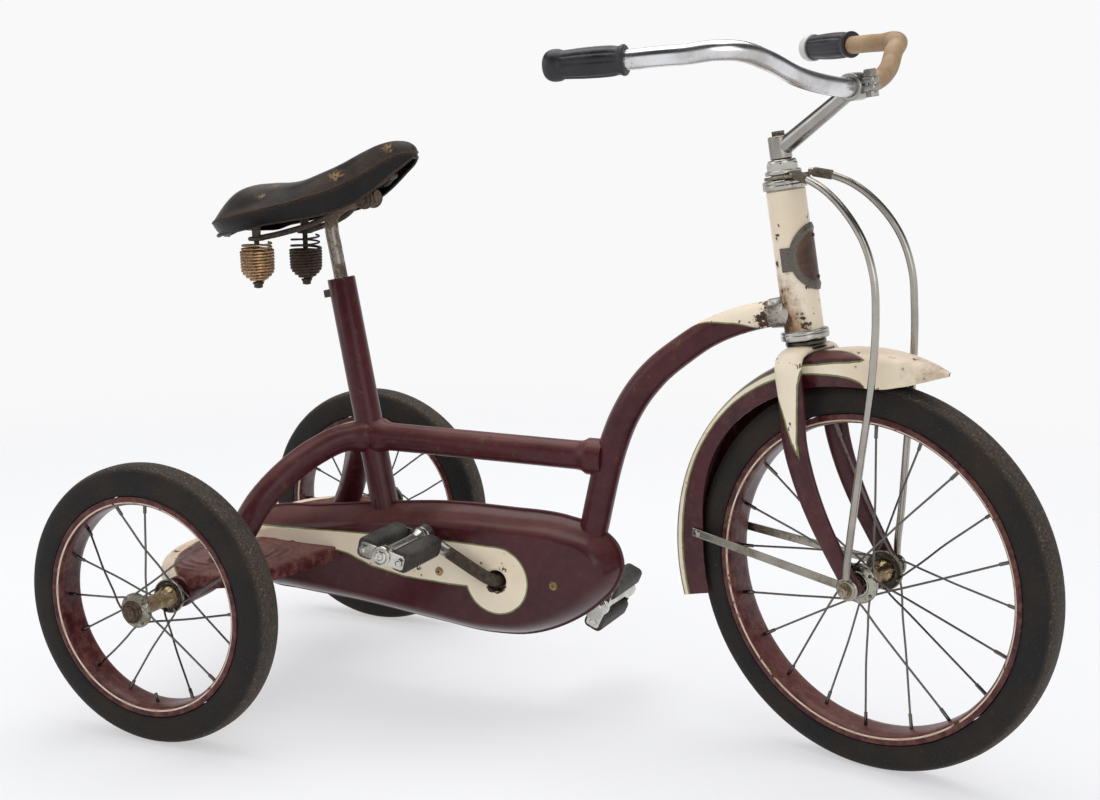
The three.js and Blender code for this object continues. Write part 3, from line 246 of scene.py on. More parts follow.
# The backdrop is white all round and greys overhead, which gives plated steel its darker bands.
direction = node(tree, "ShaderNodeSeparateXYZ", {0: node(tree, "ShaderNodeTexCoord").outputs["Generated"]})
room = tint(ramp(Signal(direction.outputs["Z"]), 0.18, 0.5), (249, 249, 250), (66, 66, 70))
lit = node(tree, "ShaderNodeBackground", {"Color": linear(236, 238, 244), "Strength": 0.62})
shown = node(tree, "ShaderNodeBackground", {"Color": room, "Strength": 1.0})
mixed = node(tree, "ShaderNodeMixShader", {0: seen_rays(tree), 1: lit.outputs[0], 2: shown.outputs[0]})
node(tree, "ShaderNodeOutputWorld", {"Surface": mixed.outputs[0]})

floor_mesh = bpy.data.meshes.new("floor")
floor_mesh.from_pydata([(-3, -3, 0), (3, -3, 0), (3, 3, 0), (-3, 3, 0)], [], [(0, 1, 2, 3)])
floor = added("floor", floor_mesh)
floor_paint, tree = blank_material("pale_floor")
sheen = node(tree, "ShaderNodeBsdfPrincipled", {"Base Color": linear(250, 250, 251), "Roughness": 0.55,
                                                "Specular IOR Level": 0.25})
# half of the floor that the viewer sees is plain white, so that the object's shadow stays faint
white = node(tree, "ShaderNodeEmission", {"Color": linear(249, 249, 250), "Strength": 1.0})
pale = node(tree, "ShaderNodeMixShader", {0: seen_rays(tree) * 0.5, 1: sheen.outputs[0], 2: white.outputs[0]})
reach = node(tree, "ShaderNodeVectorMath", {0: node(tree, "ShaderNodeTexCoord").outputs["Object"]},
             operation="LENGTH").outputs["Value"]
clear = node(tree, "ShaderNodeBsdfTransparent")
faded = node(tree, "ShaderNodeMixShader", {0: ramp(Signal(reach), 0.7, 2.2), 1: pale.outputs[0],
                                           2: clear.outputs[0]})
node(tree, "ShaderNodeOutputMaterial", {"Surface": faded.outputs[0]})
floor_mesh.materials.append(floor_paint)

bpy.context.scene.view_settings.view_transform = "Standard"

# ---------------------------------------------------------------------------------------
# Mesh tools. Every surface is a grid of points worked out by numpy: a profile turned about an
# axis, a ring swept along a line, or a plate between two outlines.

joints = {j["name"]: j for j in frame["joints"]}
sides = (("right", -1), ("left", 1))
leftward = np.array([0.0, 1.0, 0.0])


def joint_point(name):
    """Where a joint's axis passes, in millimetres."""
    return np.array(joints[name]["pos_m"], float) * 1000


def joint_axis(name):
    """Which way a joint's axis points."""
    return np.array(joints[name]["axis"], float)


def unit(values):
    """Values held between 0 and 1."""
    return np.clip(values, 0, 1)


def skin(points, wrap_rows=False, ends=None, first=None, last=None):
    """A grid of points as vertices, quads and triangles. Each row of it is a closed ring.

    wrap_rows joins the last row to the first, ends="fan" closes both end rows from a middle
    point, ends="strip" closes a flat double row.
    first and last give their own middle points. A closed skin is turned to face outwards.
    """
    rows, columns = points.shape[:2]
    index = np.arange(rows * columns).reshape(rows, columns)
    below = np.roll(index, -1, 0) if wrap_rows else index[1:]
    above = index if wrap_rows else index[:-1]
    quads = np.stack([above, np.roll(above, -1, 1), np.roll(below, -1, 1), below], -1).reshape(-1, 4)
    vertices = points.reshape(-1, 3)
    triangles = np.zeros((0, 3), int)
    if ends == "fan":
        middles = [points[end].mean(0) if given is None else given for end, given in ((0, first), (-1, last))]
        vertices = np.vstack([vertices, middles])
        start, finish, tip = index[0], index[-1], rows * columns
        triangles = np.vstack([
            np.stack([np.roll(start, -1), start, np.full(columns, tip)], -1),
            np.stack([finish, np.roll(finish, -1), np.full(columns, tip + 1)], -1)])
    if ends == "strip":
        half = columns // 2
        j = np.arange(half - 1)
        for row, order in ((index[0], (3, 2, 1, 0)), (index[-1], (0, 1, 2, 3))):
            strip = np.stack([row[j], row[j + 1], row[columns - 2 - j], row[columns - 1 - j]], -1)
            quads = np.vstack([quads, strip[:, order]])
    fans = np.vstack([quads[:, [0, 1, 2]], quads[:, [0, 2, 3]], triangles])
    a, b, c = (vertices[fans[:, corner]] for corner in range(3))
    if np.einsum("ij,ij->", a, np.cross(b, c)) < 0:  # six times the volume inside
        quads, triangles = quads[:, ::-1], triangles[:, ::-1]
    return vertices, quads, triangles


def piece(name, skins, body, material, stands_for=(), crease=40.0, fields=None):
    """Joins skins into one mesh that rides on a body.

    fields are numbers painted on its points, given as an array or worked out from the places.
    """
    base, all_vertices, all_quads, all_triangles = 0, [], [], []
    for vertices, quads, triangles in skins:
        all_vertices.append(vertices)
        all_quads.append(quads + base)
        all_triangles.append(triangles + base)
        base += len(vertices)
    places = np.vstack(all_vertices)
    quads, triangles = np.vstack(all_quads), np.vstack(all_triangles)
    mesh = bpy.data.meshes.new(name)
    mesh.vertices.add(len(places))
    mesh.vertices.foreach_set("co", (places / 1000).astype(np.float32).ravel())
    mesh.loops.add(quads.size + triangles.size)
    corners = np.concatenate([quads.ravel(), triangles.ravel()])
    mesh.loops.foreach_set("vertex_index", corners.astype(np.int32))
    mesh.polygons.add(len(quads) + len(triangles))
    starts = np.concatenate([np.arange(len(quads)) * 4, quads.size + np.arange(len(triangles)) * 3])
    mesh.polygons.foreach_set("loop_start", starts.astype(np.int32))
    mesh.update(calc_edges=True)
    mesh.validate()
    mesh.shade_smooth()
    mesh.set_sharp_from_angle(angle=math.radians(crease))
    for field, values in (fields or {}).items():
        layer = mesh.attributes.new(field, "FLOAT", "POINT")
        numbers = values(places) if callable(values) else values
        layer.data.foreach_set("value", np.asarray(numbers, np.float32).ravel())
    mesh.materials.append(material)
    made = added(name, mesh)
    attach(made, body)
    if stands_for:
        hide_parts(*stands_for)
    return made


def soften(profile, radius, steps=3):
    """Rounds the corners of a polyline: each corner becomes a short parabola between two cut points."""
    p = np.array(profile, float)
    before, corner, after = p[:-2], p[1:-1], p[2:]
    into, out = before - corner, after - corner
    start = corner + into * np.minimum(radius / norm(into, axis=1, keepdims=True), 0.45)
    end = corner + out * np.minimum(radius / norm(out, axis=1, keepdims=True), 0.45)
    t = np.linspace(0, 1, steps + 1)[None, :, None]
    bow = (1 - t) ** 2 * start[:, None] + 2 * t * (1 - t) * corner[:, None] + t ** 2 * end[:, None]
    return np.vstack([p[:1], bow.reshape(-1, p.shape[1]), p[-1:]])


def across(axis):
    """Two unit directions square to an axis and to each other."""
    axis = np.asarray(axis, float) / norm(axis)
    helper = np.array([0.0, 0.0, 1.0]) if abs(axis[2]) < 0.9 else np.array([1.0, 0.0, 0.0])
    one = np.cross(helper, axis)
    one /= norm(one)
    return one, np.cross(axis, one), axis


def spun(profile, centre, axis, around=48, closed=False):
    """A (radius, distance along the axis) profile turned about an axis through a centre.

    An open profile is closed at both ends by fans, so that it makes a solid.
    """
    one, two, along = across(axis)
    p, centre = np.asarray(profile, float), np.asarray(centre)
    t = 2 * math.pi * np.arange(around) / around
    ring = np.cos(t)[:, None] * one + np.sin(t)[:, None] * two
    first, last = centre + p[0, 1] * along, centre + p[-1, 1] * along
    if not closed:
        p = p[int(p[0, 0] < 1e-6):len(p) - int(p[-1, 0] < 1e-6)]
    grid = centre + p[:, None, :1] * ring[None] + p[:, None, 1:] * along
    return skin(grid, wrap_rows=True) if closed else skin(grid, ends="fan", first=first, last=last)


def hoop(profile, soft, centre, axis, around=48, steps=3):
    """A closed ring: a profile with softened corners, turned about an axis."""
    return spun(soften(profile, soft, steps), centre, axis, around, closed=True)


def mirrored(half):
    """A (radius, distance) half profile and its mirror image, joined into a closed loop."""
    return np.vstack([half, half[::-1] * (1, -1)])


def travelled(line):
    """The length run along a line at each of its points."""
    return np.r_[0, np.cumsum(norm(np.diff(line, axis=0), axis=1))]


def smooth_line(knots, count):
    """A smooth curve through knots, by cubic Hermite pieces over chord length, at evenly spaced lengths."""
    p = np.array(knots, float)
    s = travelled(p)
    slope = np.gradient(p, s, axis=0)
    t = np.linspace(0, s[-1], count)
    i = np.clip(np.searchsorted(s, t, side="right") - 1, 0, len(s) - 2)
    h = (s[i + 1] - s[i])[:, None]
    u = (t - s[i])[:, None] / h
    return ((2 * u ** 3 - 3 * u ** 2 + 1) * p[i] + (u ** 3 - 2 * u ** 2 + u) * h * slope[i]
            + (3 * u ** 2 - 2 * u ** 3) * p[i + 1] + (u ** 3 - u ** 2) * h * slope[i + 1])


def sweep(path, radius, around=24, ref=(0.0, 1.0, 0.0), oval=(1.0, 1.0), power=1.0):
    """A bar along a path. Its rings have one radius, or one for each point, and lie square to the path.

    ref is a direction that the rings keep facing. oval scales a ring square to ref and along ref.
    A power under 1 squares the ring up: cos and sin keep their sign and are raised to it.
    """
    path = np.asarray(path, float)
    tangent = np.gradient(path, axis=0)
    tangent /= norm(tangent, axis=1, keepdims=True)
    one = np.cross(tangent, np.broadcast_to(np.asarray(ref, float), tangent.shape))
    one /= norm(one, axis=1, keepdims=True)
    two = np.cross(one, tangent)
    t = 2 * math.pi * (np.arange(around) + 0.5) / around
    c, s = (np.sign(f(t)) * np.abs(f(t)) ** power for f in (np.cos, np.sin))
    wide, deep = (np.broadcast_to(share, len(path)).reshape(-1, 1, 1) for share in oval)
    r = np.broadcast_to(radius, len(path)).reshape(-1, 1, 1)
    grid = path[:, None] + r * (wide * c[:, None] * one[:, None] + deep * s[:, None] * two[:, None])
    return skin(grid, ends="fan", first=path[0], last=path[-1])


def rounded(start, end, radius, soft=0.8, around=24):
    """A straight round bar from start to end, with softened end edges."""
    start, end = np.asarray(start, float), np.asarray(end, float)
    length = norm(end - start)
    cut = min(soft, length * 0.4, radius * 0.4)
    edge = [(0, 0), (radius - cut, 0), (radius - cut * 0.3, cut * 0.3), (radius, cut)]
    profile = edge + [(r, length - run) for r, run in edge[::-1]]
    return spun(profile, start, end - start, around)


def hexagon(start, end, width, soft=0.5, turned=0.0):
    """A six-sided nut across the flats from start to end, with softened corners at both faces."""
    run = np.subtract(end, start, dtype=float)
    one, two, along = across(run)
    length, corner = norm(run), width / math.sqrt(3)
    t = np.radians(turned) + 2 * math.pi * np.arange(48) / 48
    flat = np.cos(math.pi / 6) / np.cos((t - np.radians(turned)) % (math.pi / 3) - math.pi / 6)
    ring = np.cos(t)[:, None] * one + np.sin(t)[:, None] * two
    rows = []
    edge = [(0.86, 0.0), (0.93, 0.0), (0.985, soft), (1.0, soft * 2.2)]
    for share, step in edge + [(share, length - step) for share, step in edge[::-1]]:
        radius = np.minimum(corner * flat, corner * (share + 0.02)) if share < 1 else corner * flat
        rows.append(np.asarray(start) + radius[:, None] * ring + step * along)
    return skin(np.array(rows), ends="fan")


def slab(outline, start, end, soft=0.5):
    """A flat plate: a closed outline of places carried from start to end, with softened edges."""
    outline, start, end = (np.asarray(v, float) for v in (outline, start, end))
    middle = outline.mean(0)
    rows = [middle + (outline - middle) * (1 - 0.03 * soft) + start, outline + start + (end - start) * 0.22,
            outline + start + (end - start) * 0.78, middle + (outline - middle) * (1 - 0.03 * soft) + end]
    return skin(np.array(rows), ends="fan")


def block_outline(half_wide, half_tall, cut, count=6):
    """A rectangle with round corners, made denser: four quarter circles of radius cut, joined up."""
    turns = np.linspace(0, math.pi / 2, count)
    corner = cut * np.column_stack([np.cos(turns), np.sin(turns)])
    parts = []
    for quarter, (sx, sz) in enumerate(((1, 1), (-1, 1), (-1, -1), (1, -1))):
        angle = quarter * math.pi / 2
        spin = np.array([[math.cos(angle), math.sin(angle)], [-math.sin(angle), math.cos(angle)]])
        parts.append(corner @ spin + (sx * (half_wide - cut), sz * (half_tall - cut)))
    return np.vstack(parts)

# ---------------------------------------------------------------------------------------
# Tyres. Solid rubber rings with a bulging side wall, a sharp crease where the side wall
# meets the worn flat tread, and fine mould ribs. They are stretched over the rims.


def tyre_rubber():
    """Black rubber gone grey, browner and rougher on the tread, with fine scuffs round the wall."""
    material, tree = blank_material("aged_tyre_rubber")
    old = use(tree, grime, {"Patch Scale": 16.0, "Speck Scale": 420.0})
    tread = attribute(tree, "tread")
    wall = tint(ramp(old["Patches"], 0.35, 0.7), (29, 28, 28), (50, 43, 36))
    dusty = tint(ramp(old["Specks"], 0.3, 0.75), (54, 47, 42), (88, 77, 67))
    colour = tint(tread * ramp(old["Patches"], 0.2, 0.6, 0.45, 1.0), wall, dusty)
    colour = tint(ramp(old["Specks"], 0.62, 0.75) * (tread * 0.35 + 0.12), colour, (150, 144, 132))
    rough = ramp(old["Patches"], 0.3, 0.7, 0.58, 0.8)
    return finished(material, colour, rough, old["Specks"], 0.0005, specular=0.22)


def tyre_profile(rim, outer, width):
    """Half profile of the tyre from bead to the middle of the tread, mirrored into a closed loop."""
    high, w = outer - rim, width / 2
    side = [(rim + 0.4, w - 2.6), (rim + 0.9, w - 1.0), (rim + 2.2, w - 0.35), (rim + 3.0, w - 0.9),
            (rim + 3.8, w - 0.25), (rim + 0.34 * high, w), (rim + 0.52 * high, w - 0.2),
            (rim + 0.68 * high, w - 1.3), (rim + 0.80 * high, w - 3.0), (rim + 0.84 * high, w - 3.9),
            (rim + 0.855 * high, w - 4.9), (rim + 0.875 * high, w - 4.7), (rim + 0.93 * high, w - 7.4),
            (rim + 0.975 * high, w - 11.0), (outer - 0.1, w - 15.0), (outer, 0.6)]
    return mirrored(soften(side, 0.9, 2))


tyre_width = 40.4
tyre_paint = tyre_rubber()
head_at, steer_axis = joint_point("steering"), joint_axis("steering")
wheels = {}
for name, body, rim_radius in (("rear_right", "rear_right_wheel", 121.4), ("rear_left", "drive_axle", 121.4),
                               ("front", "front_wheel", 172.1)):
    centre = joint_point(body + "_spin")
    if name != "front":
        low, high = (np.array(c) * 1000 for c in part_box(name + "_tyre"))
        centre[1] = (low[1] + high[1]) / 2
    wheels[name] = {"centre": centre, "axis": joint_axis(body + "_spin"), "body": body, "rim": rim_radius,
                    "outer": centre[2] if name != "front" else 203.2}
for name, wheel in wheels.items():
    centre, axis, rim, outer = (wheel[key] for key in ("centre", "axis", "rim", "outer"))

    def tread_share(p):
        """1 on the tread and 0 on the side wall, by distance from the axle."""
        off = p - centre
        flat = off - (off @ axis)[:, None] * axis
        return unit((norm(flat, axis=1) - rim) / (outer - rim) * 9 - 7.2)

    tyre = spun(tyre_profile(rim, outer - 0.2, tyre_width - 0.4), centre, axis, 160, closed=True)
    piece(name + "_tyre_rubber", [tyre], wheel["body"], tyre_paint, [name + "_tyre"],
          fields={"tread": tread_share})

# ---------------------------------------------------------------------------------------
# Rims. Rolled steel hoops in the maroon enamel with a thin cream pinstripe on each side,
# pressed over the tyres' beads.

enamel, given, spread = open_group(
    "Worn Enamel", {"Cream": 0.0, "Line": 1.0, "Wear": 0.3, "Fade": 0.3, "Stain": 0.0})
broad = noise(spread, 9.0, 4.0, 0.6)
mottle = noise(spread, 75.0, 5.0, 0.7)
flecks = noise(spread, 310.0, 3.0, 0.7)
edge = given["Cream"] + (mottle * 1.6 - 0.8)
maroon = tint(ramp(broad, 0.3, 0.7), (57, 17, 24), (75, 26, 32))
maroon = tint(ramp(mottle, 0.4, 0.72) * given["Fade"], maroon, (120, 74, 67))
ivory = tint(ramp(broad, 0.35, 0.7), (250, 236, 212), (240, 222, 192))
ivory = tint(ramp(mottle, 0.6, 0.8, 0.0, 0.3), ivory, (158, 122, 78))
ivory = tint(ramp(given["Stain"] + mottle * 0.8, 0.62, 1.15), ivory, (140, 102, 60))
colour = tint(ramp(edge, 18.1, 18.4) * given["Line"], maroon, (122, 130, 82))
colour = tint(ramp(edge, 19.8, 20.2), colour, ivory)
bare = given["Wear"] * -0.16 + 0.745
chips = ramp(broad * 0.25 + mottle - bare, 0.0, 0.025)
specks = ramp(flecks - (bare * 0.5 + 0.4), 0.0, 0.03)
chips = chips.step("MAXIMUM", specks * 0.8)
colour = tint(chips, colour, tint(ramp(flecks, 0.35, 0.65), (52, 38, 31), (98, 70, 50)))
dust = ramp(upward(enamel), 0.25, 1.0) * ramp(broad, 0.3, 0.7, 0.12, 0.3)
close_group(enamel, {"Colour": tint(dust, colour, (158, 112, 100)),
                     "Rough": ramp(broad, 0.3, 0.75, 0.26, 0.4) + (chips * 0.4 + dust * 0.5),
                     "Height": mottle * 0.25 - chips})


def painted(name, wear, fade, line=1.0, shift=0.0, gloss=0.15):
    """Enamel over steel. The cream field, in mm, is past 20 inside cream and 0 far outside it.

    A field called worn adds bare metal where it is near 1, and stain browns the cream.
    """
    material, tree = blank_material(name)
    coat = use(tree, enamel, {
        "Cream": attribute(tree, "cream"), "Line": line, "Wear": attribute(tree, "worn") * 1.7 + wear,
        "Fade": fade, "Shift": shift, "Stain": attribute(tree, "stain")})
    return finished(material, coat["Colour"], coat["Rough"], coat["Height"], 0.00025, 0.22, gloss=gloss)


rim_paint = painted("rim_enamel", wear=0.0, fade=0.9, line=0.0, shift=0.3)
rim_section = [  # from the bead's radius, and out from the middle of the wheel
    (-11.0, 0.5), (-10.9, 9.0), (-10.0, 14.6), (-8.6, 17.6), (-6.0, 18.9), (-2.6, 19.5), (-0.6, 19.4),
    (-0.1, 18.4), (-0.6, 16.4), (-3.4, 12.0), (-6.0, 7.0), (-6.6, 0.5)]
for name, wheel in wheels.items():
    r = wheel["rim"]
    loop = mirrored(soften(np.array(rim_section) + (r, 0), 1.0, 2))

    def pinstripe(p):
        """20 plus the depth inside a 1.8 mm line round each side face of the rim."""
        off = p - wheel["centre"]
        away = off @ wheel["axis"]
        radius = norm(off - away[:, None] * wheel["axis"], axis=1)
        return np.where(np.abs(away) > 11, 20 + 0.9 - np.abs(radius - (r - 6.8)), 0)

    # the stripe needs points on both of its edges
    fine = [np.linspace(a, b, 4, endpoint=False) for a, b in zip(loop, np.roll(loop, -1, 0))]
    piece(name + "_rim_hoop", [spun(np.vstack(fine), wheel["centre"], wheel["axis"], 144, closed=True)],
          wheel["body"], rim_paint, [name + "_rim"],
          fields={"cream": pinstripe, "stain": lambda p: np.full(len(p), 0.45)})

# ---------------------------------------------------------------------------------------
# Hubs and spokes. A dull barrel with a cupped flange at each end carries crossed wire
# spokes. Each spoke hooks through the flange and screws into a nipple in the rim.

plating, given, spread = open_group(
    "Pitted Plating", {"Rust": 0.3, "Metal": linear(186, 184, 180), "Dark Rust": linear(66, 50, 38),
                       "Light Rust": linear(112, 86, 62)})
broad = noise(spread, 22.0, 4.0, 0.6)
pits = noise(spread, 230.0, 4.0, 0.7)
bare = given["Rust"] * -0.75 + 1.05
spots = ramp(broad * 0.55 + pits * 0.6 - bare * 0.75, 0.0, 0.1)
dull = tint(ramp(broad, 0.35, 0.7, 0.0, 0.5), given["Metal"], (128, 120, 108))
rust = tint(ramp(pits, 0.35, 0.65), given["Dark Rust"], given["Light Rust"])
close_group(plating, {"Colour": tint(spots, dull, rust),
                      "Rough": spots * 0.5 + ramp(broad, 0.3, 0.7, 0.16, 0.34),
                      "Metallic": spots * -0.85 + 1.0, "Height": pits * spots})


def metal(name, rust, tone=(186, 184, 180), shift=0.0, depth=0.0003, rusts=((66, 50, 38), (112, 86, 62))):
    """Plated or bare steel with so much rust, from 0 to 1, in a dark and a light colour."""
    material, tree = blank_material(name)
    coat = use(tree, plating, {
        "Rust": attribute(tree, "worn") * 0.7 + rust, "Shift": shift, "Metal": linear(*tone),
        "Dark Rust": linear(*rusts[0]), "Light Rust": linear(*rusts[1])})
    return finished(material, coat["Colour"], coat["Rough"], coat["Height"], depth, metallic=coat["Metallic"])


def wheel_frame(wheel):
    """The wheel's own directions: forward in its plane, up in its plane, and out along its axle."""
    axle = wheel["axis"]
    up = np.array([0.0, 0.0, 1.0]) if abs(axle[1]) > 0.999 else steer_axis
    forward = np.cross(axle, up)
    return forward / norm(forward), up, axle


def on_wheel(wheel, radius, angle, out):
    """A point in the wheel by radius, angle and distance out along the axle."""
    forward, up, axle = wheel_frame(wheel)
    return wheel["centre"] + radius * (math.cos(angle) * forward + math.sin(angle) * up) + out * axle


# for each wheel: spokes, degrees to the first, half length of the hub, flange radius, lost spokes
spokes_of = {"rear_right": (16, 1.0, 29.0, 19.0, (3, 12)), "rear_left": (16, 1.0, 29.0, 19.0, ()),
             "front": (20, 7.5, 26.0, 21.0, ())}
spoke_cross = math.radians(52.0)  # what a spoke runs round the hub between flange and rim
wire_radius, nipple_radius = 1.15, 1.9
spoke_steel = metal("spoke_steel", 0.2, (96, 95, 93), 1.3)
barrel_steel = metal("barrel_steel", 0.45, (166, 146, 112), 2.1, rusts=((112, 94, 68), (156, 132, 96)))
cup_steel = metal("cup_steel", 0.5, (78, 72, 68), 2.6, rusts=((48, 42, 38), (78, 68, 60)))
flange_steel = metal("flange_steel", 0.42, (166, 164, 152), 2.9, rusts=((98, 92, 74), (140, 132, 108)))
for name, wheel in wheels.items():
    count, first_angle, half, flange, lost = spokes_of[name]
    forward, up, axle = wheel_frame(wheel)
    chance = np.random.default_rng(len(name))
    barrel = mirrored(np.array([(0, -half), (13.2, -half + 0.4), (13.0, -half + 3.0), (11.6, -half + 7.0),
                                (9.8, -half + 12.0), (9.0, -half + 17.0)]))
    bowl = [(12.0, -1.6), (14.6, -0.2), (flange - 2.4, -1.2), (flange - 1.2, -2.6), (flange - 1.0, -0.6),
            (flange - 2.6, 1.6), (12.0, 2.6)]
    lip = [(flange - 1.5, -2.6), (flange - 0.8, -3.2), (flange, -2.4), (flange, 0.6), (flange - 1.6, 2.2),
           (15.4, 3.4), (13.8, 4.0), (13.4, 5.4), (12.4, 5.8), (9.4, 5.6), (9.4, 1.0), (flange - 2.6, 1.0)]
    bowls, lips = [], []
    for s in (-1, 1):
        bowls.append(hoop(bowl, 0.6, wheel["centre"] + s * half * axle, s * axle, 56, 2))
        lips.append(hoop(lip, 0.5, wheel["centre"] + s * half * axle, s * axle, 56, 2))
    wires, nipples = [], []
    for k in range(count):
        trailing = (k // 2) % 2
        side = 1 if k % 2 else -1
        rim_angle = math.radians(first_angle + 360 / count * k)
        hub_angle = rim_angle + (spoke_cross if trailing else -spoke_cross)
        out = side * (half + (2.4 if trailing else -2.2))
        nipple = on_wheel(wheel, wheel["rim"] - 11.4, rim_angle, out * 0.09)
        elbow = on_wheel(wheel, flange - 3.0, hub_angle, out)
        nipples.append(rounded(on_wheel(wheel, wheel["rim"] - 6.8, rim_angle, out * 0.07),
                               nipple + (elbow - nipple) * 0.0975, nipple_radius, 0.5, 12))
        if k in lost:
            continue
        start = on_wheel(wheel, flange - 3.0, hub_angle, side * half - (out - side * half) * 1.25)
        bend = (elbow + nipple) / 2 + chance.normal(0, 1.3, 3)
        knots = [start, elbow * 0.72 + start * 0.28, elbow + (nipple - elbow) * 0.035,
                 (elbow + bend) / 2 + chance.normal(0, 0.3, 3), bend, (bend + nipple) / 2, nipple]
        wires.append(sweep(smooth_line(knots, 22), wire_radius, 10, axle + 0.31 * forward + 0.17 * up))
        wires.append(rounded(start, start + (start - elbow) * 0.22, nipple_radius, 0.3, 10))
    barrel = spun(soften(barrel, 2.0), wheel["centre"], axle)
    piece(name + "_hub_barrel", [barrel], wheel["body"], barrel_steel, [name + "_hub"])
    piece(name + "_hub_cups", bowls, wheel["body"], cup_steel)
    piece(name + "_hub_flanges", lips, wheel["body"], flange_steel)
    piece(name + "_spokes", wires + nipples, wheel["body"], spoke_steel)

# ---------------------------------------------------------------------------------------
# Axles. A long straight rear axle with a collar against each frame stay and a rusty stepped cap
# outside each wheel, and a short front axle with a washer and a nut at each end.

rusty_steel = metal("rusty_steel", 0.75, (120, 106, 88), 0.7, 0.0004, ((62, 48, 40), (104, 84, 66)))
axle_height = joint_point("drive_axle_spin")[2]
collar_in, collar_out, cap_face, axle_end = 198.2, 203.3, 274.6, 283.0
rear_axle_parts = [rounded((0, -axle_end, axle_height), (0, axle_end, axle_height), 7.0, 1.4)]
axle_cap = soften([(0, 0), (12.0, 0), (12.6, 0.6), (12.4, 2.4), (11.2, 2.8), (10.4, 1.8), (9.6, 1.8),
                   (9.2, 4.0), (7.6, 4.6), (7.0, 3.8), (6.0, 4.0), (5.6, 5.8), (3.2, 6.6), (2.4, 5.6),
                   (0, 5.2)], 0.3, 2)
for s in (-1, 1):
    rear_axle_parts += [
        spun(axle_cap, (0, s * cap_face, axle_height), (0, s, 0)),
        rounded((0, s * collar_in, axle_height), (0, s * collar_out, axle_height), 11.0, 0.8, 40)]
piece("rear_axle_bar", rear_axle_parts, "drive_axle", rusty_steel, ["rear_axle"])
front_hub_at, front_axis = wheels["front"]["centre"], wheels["front"]["axis"]
front_axle_parts = [rounded(front_hub_at - 60 * front_axis, front_hub_at + 60 * front_axis, 5.0, 1.2)]
washer = soften([(0, 0), (10.6, 0), (10.4, 1.2), (8.0, 2.2), (6.8, 1.6), (0, 1.8)], 0.4)
for s in (-1, 1):
    out = s * front_axis
    front_axle_parts += [hexagon(front_hub_at + 52 * out, front_hub_at + 57 * out, 10.5, 0.8, 8),
                         spun(washer, front_hub_at + 50.9 * out, out, 40)]
nut_steel = metal("nut_steel", 0.4, (160, 150, 132), 0.9, 0.0003, ((96, 80, 62), (140, 118, 92)))
piece("front_axle_bar", front_axle_parts, "steering", nut_steel, ["front_axle"])

# ---------------------------------------------------------------------------------------
# Frame tubes. Brazed steel tube: a backbone that sweeps from the head down into the case, an
# upright seat tube, a top tube between them, and two stays that curve out to the axle. A cream
# dart with a green edge runs back along the top of the backbone from the head.

tube_radius, head_end_radius = 15.9, 12.9
crank_at = joint_point("crank_spin")
seat_foot, seat_direction = joint_point("seat_height"), joint_axis("seat_height")
top_tube_height = 303.0
frame_paint = painted("frame_enamel", wear=0.0, fade=0.15)


def on_seat(length):
    """A point so many millimetres up the seat tube from its foot."""
    return seat_foot + length * seat_direction


backbone_knots = crank_at + (head_at - crank_at) * np.array([
    [0.9911, 0, 1.0719], [0.8667, 0, 1.0462], [0.7778, 0, 1.0154], [0.686, 0, 0.9658], [0.6089, 0, 0.9041],
    [0.5289, 0, 0.8288], [0.4637, 0, 0.7414], [0.4119, 0, 0.6404], [0.3793, 0, 0.5479], [0.3527, 0, 0.4452],
    [0.3275, 0, 0.3219], [0.3038, 0, 0.2021], [0.2801, 0, 0.1096], [0.2386, 0, 0.0411], [0.1764, 0, 0.0068]])
backbone_line = smooth_line(backbone_knots, 120)
backbone_run = travelled(backbone_line)
share = backbone_run / backbone_run[-1]
dart_end = 119.0  # how far down the backbone the dart's tip lies
backbone_radius = head_end_radius + (tube_radius - head_end_radius) * np.minimum(1, share / 0.42) ** 0.8


def backbone_dart(p):
    """20 plus the depth, round the tube, inside a dart whose half angle shrinks along the backbone."""
    nearest = np.argmin(((p[:, None] - backbone_line[None, :60]) ** 2).sum(-1), axis=1)
    tangent = np.gradient(backbone_line, axis=0)
    tangent /= norm(tangent, axis=1, keepdims=True)
    top = np.cross(leftward, tangent)[nearest]
    off = p - backbone_line[nearest]
    angle = np.abs(np.degrees(np.arctan2(off[:, 1], (off * top).sum(1))))
    run = backbone_run[nearest]
    half_angle = np.interp(run, [0, 40, 46, 56, 66, 81, 97, 108, dart_end],
                           [184, 182, 150, 117, 94, 72, 40, 20, 0])
    depth = np.radians(half_angle - angle) * backbone_radius[nearest]
    return np.clip(20 + np.where(run > dart_end, dart_end - run - np.radians(angle) * 15, depth), 0, 40)


def braze(p):
    """1 close to the head lug, fading out over the first centimetres of the backbone."""
    return unit(1 - (norm(p - backbone_line[0], axis=1) - 30) / 26)


